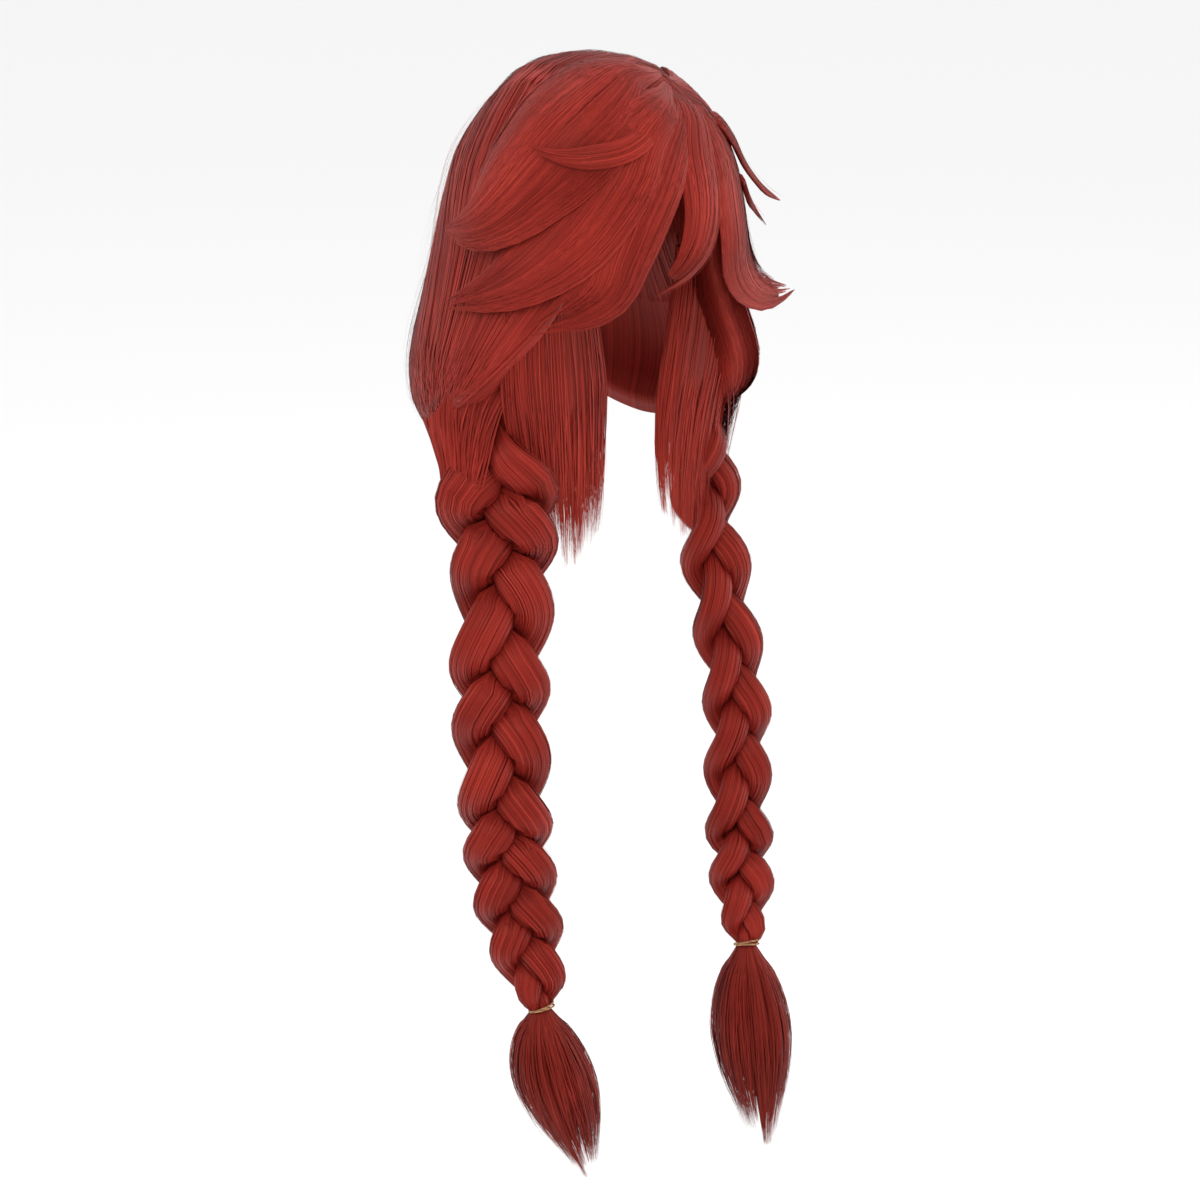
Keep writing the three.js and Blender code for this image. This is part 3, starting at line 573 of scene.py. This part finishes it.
def underStrands(side):  # hair that leaves the lower edge from inside and sweeps back onto the braid's root
    label, count, steps = "left" if side > 0 else "right", crown["under"], crown["underSteps"]
    first, more = crown["under" + label.capitalize()]
    at = np.sort(dice.uniform(0, 1, count))
    degrees = first + more * at
    hidden = 1 - smooth(0.0, 0.35, at)  # the front ones start behind the side lock
    inward, downward = crown["underHidden"]
    inset = -crown["underInset"] - dice.uniform(0, 0.004, count) - inward * hidden

    def edge(turn):
        around = side * np.radians(turn)
        spot = hairPoint(around, np.sqrt(rimShare(around)) - 0.04, inset)
        return spot - hidden[:, None] * np.array([0, 0, downward])
    start = edge(degrees)
    down = np.clip(crown["underReaches"] + dice.normal(0, 0.015, count), 0, 1)
    root, sideways, outward, _, reach = braidSection(label, down)
    heading = (2.0 + 1.4 * at + dice.normal(0, 0.1, count))[:, None]
    ring = (-side * np.cos(heading) * sideways * reach[:, :1] * 2.0
            + np.sin(heading) * outward * reach[:, 1:] * 1.8)
    target = root + ring
    span = np.linalg.norm(target - start, axis=1, keepdims=True)
    leave = unit(edge(degrees + 3) - start) * span
    arrive = unit(np.array([0, 0, -1.0]) + 0.4 * side * sideways) * span
    t = np.linspace(0, 1, steps)[None, :, None]
    paths = ((1 + 2 * t) * (1 - t) ** 2 * start[:, None] + t * t * (3 - 2 * t) * target[:, None]
             + t * (1 - t) ** 2 * leave[:, None] - t * t * (1 - t) * arrive[:, None])
    outs = np.broadcast_to(unit(outward + 0.3 * unit(ring))[:, None], paths.shape)
    swell = wander(count, steps, 3, 0.001) + np.sin(math.pi * t[..., 0]) * crown["underSwell"]
    paths = paths + outs * swell[..., None]
    halves = crown["strandHalf"] * dice.uniform(0.7, 1.3, (count, 1)) * taper(steps, 0.8, 0.3, 0.85)
    return strandMesh("underStrands", paths, outs, halves)


def liningStrands(side):  # hair on the hollow's side of the curtain, which turns round its lower edge
    count, steps = crown["lining"], crown["liningSteps"]
    around = side * np.radians(dice.uniform(*crown["liningAround"], (count, 1)))
    around = around + wander(count, steps, 2, 0.02)
    share = np.broadcast_to(np.linspace(crown["liningFrom"], 1, steps), (count, steps))
    inner, outer = innerWall(around, share), outerWall(around, share)
    paths = inner + (outer - inner) * smooth(crown["turnFrom"], crown["turnTo"], share)[..., None]
    above = share * crown["edgeBack"]
    middle = (innerWall(around, above) + outerWall(around, above)) / 2
    outs = unit(paths - middle)
    lift = dice.uniform(0.0005, 0.002, (count, 1)) + wander(count, steps, 3, 0.0004)
    paths = paths + outs * lift[..., None]
    halves = crown["strandHalf"] * dice.uniform(0.8, 1.5, (count, 1)) * taper(steps, 0.5, 0.5, 0.9)
    return strandMesh("liningStrands", paths, outs, halves)


def edgeStrands(side):  # hair that runs down along the curtain's front edge and rounds it
    count, steps = crown["edge"], crown["edgeSteps"]
    first, more = crown["edgeLeft" if side > 0 else "edgeRight"]
    blend = np.clip(dice.uniform(-0.04, 1.04, (count, 1)) + wander(count, steps, 2, 0.03), -0.04, 1.04)
    degrees = first + more * np.linspace(0, 1, steps)[None] + dice.uniform(-2, 2, (count, 1))
    around = side * np.radians(degrees)
    whole = np.ones_like(around)
    inner, outer = innerWall(around, whole), outerWall(around, whole)
    above = whole * crown["edgeBack"]
    middle = (innerWall(around, above) + outerWall(around, above)) / 2
    out = unit((inner + outer) / 2 - middle)
    swell = crown["edgeBulge"] * np.sin(math.pi * np.clip(blend, 0, 1))
    swell = swell + dice.uniform(0.0008, 0.0022, (count, 1))
    paths = inner + (outer - inner) * blend[..., None] + out * swell[..., None]
    outs = unit(out + (blend[..., None] - 0.5) * 1.4 * unit(outer - inner))
    halves = crown["strandHalf"] * dice.uniform(0.8, 1.4, (count, 1)) * taper(steps, 0.5, 0.4, 0.85)
    return strandMesh("edgeStrands", paths, outs, halves)


# braids: their middle line, and three strands that sway and weave
braids = {
    "width": 0.084, "depth": 0.054, "top": 0.208, "spread": 0.135, "forward": 0.066,
    "sway": 0.57, "weave": 0.6, "halfWidth": 0.45, "halfDepth": 0.44, "margin": 0.0002,
    "line": table(
        "down out forward", (0.0, 0.84, 0.14), (0.1, 0.86, 0.18), (0.18, 0.87, 0.18), (0.325, 0.88, 0.33),
        (0.477, 0.965, 0.44), (0.627, 1.01, 0.585), (0.783, 0.987, 0.66), (0.93, 0.93, 0.87), (1.0, 0.9, 1.0)),
    "right": {"side": -1, "length": 0.527, "tail": 0.138, "swingOut": -0.026, "swingForward": 0.024,
              "rows": table(
        "down lobe half deep facing", (0.0, -2.0, 1.3, 0.6, -80), (0.12, -1.2, 1.25, 0.85, -74),
        (0.233, 0, 1.14, 1.0, -50), (0.33, 1, 0.98, 1, -42), (0.458, 2, 0.95, 1, -38),
        (0.554, 3, 0.92, 0.97, -38),
        (0.672, 4, 0.88, 0.92, -38), (0.753, 5, 0.86, 0.88, -38), (0.837, 6, 0.82, 0.82, -38),
        (0.907, 6.9, 0.72, 0.78, -38), (0.957, 7.45, 0.58, 0.72, -38), (1.0, 7.9, 0.22, 0.34, -38))},
    "left": {"side": 1, "length": 0.535, "tail": 0.176, "swingOut": 0.01, "swingForward": 0.012, "rows": table(
        "down lobe half deep facing", (0.0, -3.0, 1.3, 0.62, 74), (0.12, -2.0, 1.25, 0.8, 62),
        (0.245, -1, 0.76, 0.84, 16), (0.361, 0, 0.68, 0.8, -8), (0.484, 1, 0.66, 0.78, -20),
        (0.598, 2, 0.66, 0.78, -25), (0.703, 3, 0.66, 0.78, -25), (0.809, 4, 0.66, 0.78, -25),
        (0.882, 5, 0.64, 0.76, -25), (0.948, 5.8, 0.56, 0.66, -25), (1.0, 6.5, 0.2, 0.3, -25))},
    "strands": 250, "steps": 84, "strandHalf": 0.0005, "strays": 6, "coreInset": 0.0016, "rootSlim": 0.85,
}
readLine = reader(braids["line"], "down")
for name in ("right", "left"):
    braids[name]["read"] = reader(braids[name]["rows"], "down")


def braidMiddle(name, t):
    braid = braids[name]
    x = braid["side"] * readLine(t, "out") * braids["spread"]
    y = -readLine(t, "forward") * braids["forward"]
    return np.stack([x, y, -braids["top"] - np.asarray(t) * braid["length"]], -1)


def braidSection(name, t):
    read = braids[name]["read"]
    facing = np.radians(read(t, "facing"))
    slim = 1 - braids["rootSlim"] * (1 - smooth(0.06, 0.2, t))
    halfWidth = read(t, "half") * braids["width"] / 2 * slim
    halfDepth = read(t, "deep") * braids["depth"] / 2 * slim
    turns = [(read(t, "lobe") + order) * math.tau / 3 - math.pi / 2 for order in range(3)]
    sway, weave = halfWidth * braids["sway"], halfDepth * braids["weave"]
    centres = [np.stack([sway * np.sin(turn), weave * np.sin(2 * turn)], -1) for turn in turns]
    reach = np.stack([halfWidth * braids["halfWidth"], halfDepth * braids["halfDepth"]], -1)
    zero = np.zeros_like(facing)
    return braidMiddle(name, t), turned(facing + math.pi / 2, 1, zero), turned(facing, 1, zero), centres, reach


def strandCentre(name, order, t):
    middle, sideways, outward, centres, _ = braidSection(name, t)
    return middle + sideways * centres[order][..., :1] + outward * centres[order][..., 1:]


def braidStrandPoint(name, order, t, across, out, lift=0.0):
    step = 0.004
    along = unit(strandCentre(name, order, t + step) - strandCentre(name, order, t - step))
    _, _, outward, _, reach = braidSection(name, t)
    sideways = unit(np.cross(outward, along))
    straight = unit(np.cross(along, sideways))
    wide, deep = (across * (reach[..., 0] + lift))[..., None], (out * (reach[..., 1] + lift))[..., None]
    spot = strandCentre(name, order, t) + sideways * wide + straight * deep
    level = (-braids["top"] - spot[..., 2]) / braids[name]["length"]
    middle, sideways, outward, centres, reach = braidSection(name, level)
    flat = spot - middle
    at = np.stack([(flat * sideways).sum(-1), (flat * outward).sum(-1)], -1) / reach
    own = centres[order] / reach
    margin = (braids["margin"] - lift) / reach[..., 1]
    moved = at.copy()
    for other in (1, 2, 1, 2):  # a strand stays on its own side of the line halfway to each neighbour
        neighbour = centres[(order + other) % 3] / reach
        apart = unit(own - neighbour)
        inside = ((moved - (own + neighbour) / 2) * apart).sum(-1)
        moved = moved + apart * np.maximum(0, margin - inside)[..., None]
    shift = (moved - at) * reach
    return spot + sideways * shift[..., :1] + outward * shift[..., 1:]


def outOf(surface, t, turn):  # outward direction of a rod's surface at a share and a turn
    step = 0.01
    roundIt = surface(t, turn + step) - surface(t, turn - step)
    along = surface(np.clip(t + step, 0, 1), turn) - surface(np.clip(t - step, 0, 1), turn)
    out = unit(np.cross(roundIt, along))
    away = surface(t, turn) - surface(t, turn + math.pi)
    return out * np.where((out * away).sum(-1, keepdims=True) < 0, -1, 1)


def braidStrands(name, order):
    count, steps = braids["strands"] + braids["strays"], braids["steps"]
    t = np.broadcast_to(np.linspace(0, 1, steps), (count, steps))
    stray = np.zeros((count, 1), bool)
    stray[-braids["strays"]:] = True
    turn = (np.arange(count) + dice.uniform(-0.4, 0.4, count))[:, None] * math.tau / braids["strands"]
    turn = turn + wander(count, steps, 5, 0.05)
    lift = dice.uniform(-0.0006, 0.0006, (count, 1)) + wander(count, steps, 7, 0.00025)
    lift = lift + stray * wander(count, steps, 9, 0.0012)

    def surface(share, heading):
        return braidStrandPoint(name, order, share, np.cos(heading), np.sin(heading))
    outs = outOf(surface, t, turn)
    paths = surface(t, turn) + outs * lift[..., None]
    girth = np.where(stray, 0.3, dice.uniform(0.6, 1.3, (count, 1)))
    halves = braids["strandHalf"] * girth * taper(steps, 0.8, 0.5, 0.97)
    return strandMesh("braidStrands", paths, outs, halves)


addPiece("crownShell", crownShell(), "hair", "crown_hair")
for side, label in ((-1, "Right"), (1, "Left")):
    addPiece(f"crownStrands{label}", crownStrands(side), "hair")
    addPiece(f"underStrands{label}", underStrands(side), "hair")
    addPiece(f"liningStrands{label}", liningStrands(side), "hair")
    addPiece(f"edgeStrands{label}", edgeStrands(side), "hair")
print("crown done")

for name, label in (("right", "Right"), ("left", "Left")):
    for order, letter in enumerate("abc"):
        def core(t, across, out):
            return braidStrandPoint(name, order, t, across, out, -braids["coreInset"])
        rod = packedRod("braidCore", 20, 110, core)
        addPiece(f"braidCore{label}{letter.upper()}", rod, "hair", f"braid_{name}_strand_{letter}")
        addPiece(f"braidStrands{label}{letter.upper()}", braidStrands(name, order), "hair")
print("braids done")

# locks that lie on the crown
lockKinds = {
    "layerLift": 0.01, "steps": 18, "strandHalf": 0.0005, "leastHalf": 0.0005, "coreReach": 0.9,
    "bang_centre": {"wide": 0.046, "thick": 0.009, "strands": 420, "clumps": 3, "rows": table(
        "around drop lift wide deep",
        (20, 0.07, 0.2, 0.5, 0.6), (10, 0.13, 0.5, 0.7, 0.9), (2, 0.2, 0.5, 0.84, 1),
        (1, 0.327, 0.4, 0.82, 0.8), (-5, 0.416, 0.3, 0.62, 0.55), (-18, 0.488, 0.1, 0.08, 0.12))},
    "front_left": {"wide": 0.068, "thick": 0.009, "strands": 560, "clumps": 10, "rows": table(
        "around drop lift wide deep",
        (28, 0.06, 0.3, 0.4, 0.6), (27, 0.17, 0.5, 0.85, 1.0), (27, 0.31, 0.6, 1.1, 0.9),
        (33, 0.43, 0.8, 1.08, 0.8), (45, 0.53, 1.8, 0.55, 0.6), (62, 0.583, 4.2, 0.06, 0.12))},
    "bang_right_lower": {"wide": 0.066, "thick": 0.009, "strands": 640, "clumps": 12, "rows": table(
        "around drop lift wide deep",
        (17, 0.07, 0.2, 0.25, 0.6), (-11, 0.15, 0.6, 0.72, 1), (-26.5, 0.275, 0.6, 0.88, 1),
        (-35, 0.385, 0.5, 0.86, 0.9), (-43, 0.48, 0.6, 0.7, 0.7), (-69, 0.57, 0.8, 0.06, 0.15))},
    "bang_right_upper": {"wide": 0.066, "thick": 0.009, "strands": 640, "clumps": 12, "rows": table(
        "around drop lift wide deep",
        (16, 0.06, 0.4, 0.3, 0.6), (-22, 0.133, 1.0, 0.7, 1.0), (-38, 0.24, 1.15, 0.95, 1.0),
        (-54, 0.357, 1.1, 0.95, 0.9), (-76, 0.463, 0.8, 0.66, 0.7), (-104, 0.537, 0.9, 0.06, 0.15))},
    "layer_right": {"wide": 0.092, "thick": 0.008, "strands": 900, "clumps": 14, "settle": 0.85, "rows": table(
        "around drop lift wide deep",
        (22, 0.035, 0.3, 0.3, 0.8), (-25, 0.035, 0.6, 0.66, 1.0), (-55, 0.11, 1.5, 1.05, 1.0),
        (-73, 0.215, 1.9, 1.05, 1), (-91, 0.32, 1.6, 0.75, 0.8), (-114, 0.378, 1.2, 0.06, 0.15))},
    "layer_left": {"wide": 0.092, "thick": 0.008, "strands": 700, "clumps": 12, "rows": table(
        "around drop lift wide deep", (34, 0.06, 0.0, 0.2, 0.4), (55, 0.11, 0.6, 0.8, 1.0),
        (68, 0.21, 0.8, 1.0, 1.0),
        (82, 0.32, 0.8, 0.9, 0.9), (100, 0.42, 0.8, 0.55, 0.6), (124, 0.49, 1.1, 0.06, 0.15))},
    "flick_top": {"wide": 0.017, "thick": 0.005, "strands": 150, "clumps": 2, "rows": table(
        "around drop lift wide deep",
        (16, 0.055, 0.2, 0.2, 0.5), (-10, 0.12, 0.7, 0.7, 0.8), (-27, 0.18, 1.6, 1, 0.9),
        (-42, 0.203, 2.2, 1, 0.9), (-55, 0.205, 2.45, 0.6, 0.7), (-67, 0.193, 2.7, 0.08, 0.2))},
    "flick_left_upper": {"wide": 0.017, "thick": 0.005, "strands": 150, "clumps": 2, "rows": table(
        "around drop lift wide deep",
        (27, 0.12, 0.9, 1.0, 1.0), (36, 0.19, 1.2, 1.3, 1.2), (44, 0.25, 1.5, 1.1, 1.0),
        (51, 0.318, 2.8, 0.7, 0.8), (59, 0.375, 4.8, 0.08, 0.2))},
    "flick_left_small": {"wide": 0.017, "thick": 0.005, "strands": 80, "clumps": 1, "rows": table(
        "around drop lift wide deep",
        (38, 0.26, 1.0, 0.6, 0.9), (43, 0.32, 1.3, 0.8, 1.0), (49, 0.36, 1.9, 0.5, 0.7),
        (56, 0.415, 3, 0.08, 0.2))},
    "flick_left_lower": {"wide": 0.017, "thick": 0.005, "strands": 100, "clumps": 2, "rows": table(
        "around drop lift wide deep", (44, 0.36, 0.9, 0.8, 0.9), (46, 0.45, 0.9, 1.2, 1.2),
        (49, 0.53, 1.3, 0.9, 1.0),
        (55, 0.6, 2.2, 0.08, 0.2))},
}


def lockPoint(lock, t, across, out, more=0.0):
    last = len(lock["rows"]) - 1
    for i, line in enumerate(lock["rows"]):
        line["at"], line["depth"] = i / last, math.sqrt(line["drop"])
    read = reader(lock["rows"], "at")

    def middle(share):
        around, depth = np.radians(read(share, "around")), read(share, "depth")
        return around, depth, read(share, "lift") * lockKinds["layerLift"]
    around, depth, lift = middle(t)
    step = 0.01
    along = hairPoint(*middle(t + step)) - hairPoint(*middle(t - step))
    roundIt, down, normal = formFrame(around, depth)
    sideways = unit(np.cross(normal, along))
    opening = smooth(0, 0.14, t)  # roots close up where the locks leave the parting
    half = np.maximum(lockKinds["leastHalf"], read(t, "wide") * lock["wide"] / 2 * (0.45 + 0.55 * opening))
    thick = np.maximum(lockKinds["leastHalf"], read(t, "deep") * lock["thick"] / 2 * (0.3 + 0.7 * opening))
    lift = lift * (0.2 + 0.8 * opening) * (1 - lock.get("settle", 0) * smooth(0.0, 1.0, -across))
    reach = across * half
    around = around + reach * (sideways * roundIt).sum(-1) / (roundIt ** 2).sum(-1)
    depth = depth + reach * (sideways * down).sum(-1) / (down ** 2).sum(-1)
    return hairPoint(around, depth, lift + out * thick + more)


def sheetStrands(count, steps, clumps, under=0.2, gather=0.22, ragged=0.12):
    # where each strand runs in a flat lock: across it, out of it, and along it, with ragged clumps at the tip
    centres = np.linspace(-0.85, 0.85, clumps) if clumps > 1 else np.zeros(1)
    ends = 1 - dice.uniform(0, ragged, clumps)
    ends[dice.integers(clumps)] = 1.0
    across = dice.uniform(-1, 1, count)
    own = np.abs(across[:, None] - centres[None]).argmin(1)
    end = ends[own] - dice.uniform(0, 0.16, count) * dice.uniform(0, 1, count)
    t = np.linspace(0, 1, steps)[None] * end[:, None]
    pull = gather * smooth(0.5, 1.0, t)
    a = across[:, None] * (1 - pull) + centres[own][:, None] * pull + wander(count, steps, 3, 0.02)
    a = np.clip(a, -1.02, 1.02)
    face = np.where(dice.uniform(0, 1, count) < under, -1.0, 1.0)[:, None]
    out = face * np.sqrt(np.clip(1 - a * a, 0, 1)) * dice.uniform(0.75, 1.0, (count, 1))
    return t, a, out


def layLock(name):
    lock = lockKinds[name]
    steps, count = lockKinds["steps"], lock["strands"]
    plain = "".join(word.capitalize() for word in name.split("_"))

    def core(t, across, out):
        closing = 1 - 0.6 * smooth(0.7, 1.0, t)
        return lockPoint(lock, t * lockKinds["coreReach"], across * 0.95 * closing, out * 0.8 * closing)
    addPiece(f"core{plain}", packedRod(f"core{plain}", 20, 26, core), "hair", name)
    t, across, out = sheetStrands(count, steps, lock["clumps"])
    loose = dice.uniform(0, 1, (count, 1)) < 0.04
    lifted = smooth(0.3, 1.0, t) * dice.uniform(0.001, 0.006, (count, 1))
    more = np.where(loose, lifted, wander(count, steps, 3, 0.0002))
    paths = lockPoint(lock, t, across, out, more)
    outs = unit(paths - lockPoint(lock, t, across * 0.95, out - 1.0))
    girth = np.where(loose, 0.45, dice.uniform(0.6, 1.3, (count, 1)))
    halves = lockKinds["strandHalf"] * girth * taper(steps, 0.6, 0.12, 0.75)
    addPiece(f"strands{plain}", strandMesh(f"strands{plain}", paths, outs, halves), "hair")


for name in [key for key, value in lockKinds.items() if isinstance(value, dict)]:
    layLock(name)
print("locks done")

# side locks in front of the ears
sideLock = {
    "wide": 0.092, "thick": 0.024, "top": 0.138, "length": 0.236, "forward": 0.040,
    "right": {"side": -1, "spread": 0.082, "facing": -16}, "left": {"side": 1, "spread": 0.092, "facing": 4},
    "strands": 1500, "steps": 13, "clumps": 26, "strandHalf": 0.00042, "coreReach": 0.78,
    "innerRise": 0.08, "outerRise": 0.08, "longer": 1.04, "tipTint": 0.35, "looseness": 4.0,
    "rows": table(
        "down out forward wide deep", (0.0, 1.0, 1.0, 0.75, 0.8), (0.2, 1.0, 1.0, 0.92, 1.0),
        (0.4, 0.95, 0.96, 1.0, 1.0),
        (0.6, 0.87, 0.9, 0.92, 0.85), (0.8, 0.82, 0.92, 0.8, 0.5), (1.0, 0.81, 0.96, 0.66, 0.2)),
}
readSideLock = reader(sideLock["rows"], "down")


def sideLockPoint(name, t, across, out):
    side, facing = sideLock[name]["side"], math.radians(sideLock[name]["facing"])
    half = readSideLock(t, "wide") * sideLock["wide"] / 2
    thick = readSideLock(t, "deep") * sideLock["thick"] / 2
    x = side * readSideLock(t, "out") * sideLock[name]["spread"]
    y = -readSideLock(t, "forward") * sideLock["forward"]
    spot = np.stack([x, y, -sideLock["top"] - t * sideLock["length"]], -1)
    zero = np.zeros_like(t)
    return spot + turned(facing + math.pi / 2, across * half, zero) + turned(facing, out * thick, zero)


for name, plain in (("right", "Right"), ("left", "Left")):
    side = sideLock[name]["side"]

    def core(t, across, out):
        closing = 1 - 0.7 * smooth(0.55, 1, t)
        return sideLockPoint(name, t * sideLock["coreReach"], across * 0.94 * closing, out * 0.85 * closing)
    addPiece(f"sideLockCore{plain}", packedRod("sideLockCore", 28, 30, core), "hair", f"side_lock_{name}")
    count, steps = sideLock["strands"], sideLock["steps"]
    t, across, out = sheetStrands(count, steps, sideLock["clumps"], 0.45, 0.3, 0.14)
    outward = side * across[:, :1]
    inner, outer = smooth(0.3, 1.0, -outward), smooth(0.3, 1.0, outward)
    rise = sideLock["innerRise"] * inner + sideLock["outerRise"] * outer
    t = t * (sideLock["longer"] - rise)
    out = out * dice.uniform(0.2, 1.0, (count, 1))
    paths = sideLockPoint(name, t, across, out)
    sideways, forward = wander(count, steps, 3, 0.0012), wander(count, steps, 3, 0.0008)
    paths += np.stack([sideways, forward, np.zeros((count, steps))], -1)
    outs = unit(paths - sideLockPoint(name, t, across * 0.92, np.full_like(out, -0.2)))
    halves = sideLock["strandHalf"] * dice.uniform(0.5, 1.3, (count, 1)) * taper(steps, 0.6, 0.1, 0.6)
    tint = sideLock["tipTint"] * smooth(0.4, 1.0, t)  # paler towards the tips
    strands = strandMesh("sideLockStrands", paths, outs, halves, tint, sideLock["looseness"])
    addPiece(f"sideLockStrands{plain}", strands, "hair")
print("side locks done")

# tails below the ties
tails = {
    "width": 0.07, "gap": 0.0003, "bend": 1.5, "coreReach": 0.75, "coreWidth": 0.8,
    "strands": 1700, "steps": 14, "clumps": 15, "pull": 0.3, "strandHalf": 0.00042,
    # tint darkens every tail strand all along: painted shade, as the tails hang lowest and furthest from the
    # lamps
    "tint": -0.17, "looseness": 4.0,
    "rows": table(
        "down half", (0.0, 0.2), (0.025, 0.22), (0.12, 0.6), (0.28, 0.9), (0.45, 1.0), (0.65, 0.86),
        (0.85, 0.56), (1.0, 0.32)),
}
readTail = reader(tails["rows"], "down")


def tailMiddle(name, t):
    braid = braids[name]
    bend = np.clip(t, 0, 2) ** tails["bend"]
    outward, forward = braid["side"] * braid["swingOut"] * bend, braid["swingForward"] * bend
    swung = np.stack([outward, -forward, -tails["gap"] - t * braid["tail"]], -1)
    return braidMiddle(name, np.ones_like(t)) + swung


for name, plain in (("right", "Right"), ("left", "Left")):
    def core(t, across, out):
        down = t * tails["coreReach"]
        closing = 1 - 0.85 * smooth(0.45, 1, t)
        half = readTail(down, "half") * tails["width"] / 2 * tails["coreWidth"] * closing
        return tailMiddle(name, down) + np.stack([across * half, out * half, np.zeros_like(t)], -1)
    addPiece(f"tailCore{plain}", packedRod("tailCore", 24, 24, core), "hair", f"tail_{name}")
    count, steps = tails["strands"], tails["steps"]
    heading = dice.uniform(0, math.tau, count)
    clump = np.floor(heading / math.tau * tails["clumps"]).astype(int)
    centre = (clump + dice.uniform(0.2, 0.8, tails["clumps"])[clump]) / tails["clumps"] * math.tau
    ends = dice.uniform(0.86, 1.06, tails["clumps"])[clump]
    ends = ends - dice.uniform(0, 0.36, count) * dice.uniform(0, 1, count)
    t = np.linspace(0, 1, steps)[None] * ends[:, None]
    pull = tails["pull"] * smooth(0.4, 1.0, t)
    turn = heading[:, None] * (1 - pull) + centre[:, None] * pull + wander(count, steps, 2, 0.05)
    size = readTail(np.clip(t, 0, 1), "half") * tails["width"] / 2
    inward = (1 - np.sqrt(dice.uniform(0.3, 1.0, (count, 1)))) * smooth(0, 0.2, t)
    radius = size * (1 - inward) + wander(count, steps, 2, 0.0012) * t
    paths = tailMiddle(name, t) + turned(turn, radius, 0.0)
    outs = turned(turn, 1.0, 0.0)
    halves = tails["strandHalf"] * dice.uniform(0.5, 1.3, (count, 1)) * taper(steps, 0.6, 0.1, 0.6)
    # the whole tail painted darker: painted shade
    tint = np.full_like(t, tails["tint"])
    strands = strandMesh("tailStrands", paths, outs, halves, tint, tails["looseness"])
    addPiece(f"tailStrands{plain}", strands, "hair")
print("tails done")

# hair ties: an elastic wound twice round the end of each braid
tie = {"radius": 0.0104, "wire": 0.0008, "wraps": ((-0.0009, 0.05, 0.1), (0.001, -0.06, 0.03))}


def tieMesh(name):
    at = braidMiddle(name, np.array(1.0))
    along = Vector(unit(at - braidMiddle(name, np.array(0.97))))
    shape = bmesh.new()
    for height, tiltX, tiltY in tie["wraps"]:
        ring = bmesh.ops.create_circle(shape, segments=12, radius=tie["wire"])["verts"]
        bmesh.ops.rotate(shape, cent=(0, 0, 0), matrix=Matrix.Rotation(math.pi / 2, 3, "X"), verts=ring)
        bmesh.ops.translate(shape, vec=(tie["radius"], 0, 0), verts=ring)
        edges = list({edge for vert in ring for edge in vert.link_edges})
        bmesh.ops.spin(shape, geom=ring + edges, cent=(0, 0, 0), axis=(0, 0, 1), angle=math.tau, steps=40,
                       use_merge=True)
        wrap = [vert for vert in shape.verts if not vert.tag]
        turn = Vector((math.sin(tiltX), math.sin(tiltY), 1)).to_track_quat("Z", "Y").to_matrix()
        bmesh.ops.rotate(shape, cent=(0, 0, 0), matrix=turn, verts=wrap)
        bmesh.ops.translate(shape, vec=(0, 0, height), verts=wrap)
        for vert in wrap:
            vert.tag = True
    bmesh.ops.remove_doubles(shape, verts=shape.verts, dist=1e-6)
    lean = along.to_track_quat("Z", "Y").to_matrix()
    bmesh.ops.rotate(shape, cent=(0, 0, 0), matrix=lean, verts=shape.verts)
    bmesh.ops.translate(shape, vec=at, verts=shape.verts)
    bmesh.ops.recalc_face_normals(shape, faces=shape.faces)
    for face in shape.faces:
        face.smooth = True
    mesh = bpy.data.meshes.new(f"tie{name}")
    shape.to_mesh(mesh)
    shape.free()
    mesh.materials.append(tieElastic)
    return mesh


for name, plain in (("right", "Right"), ("left", "Left")):
    addPiece(f"hairTie{plain}", tieMesh(name), "tie", f"hair_tie_{name}")
print("ties done")
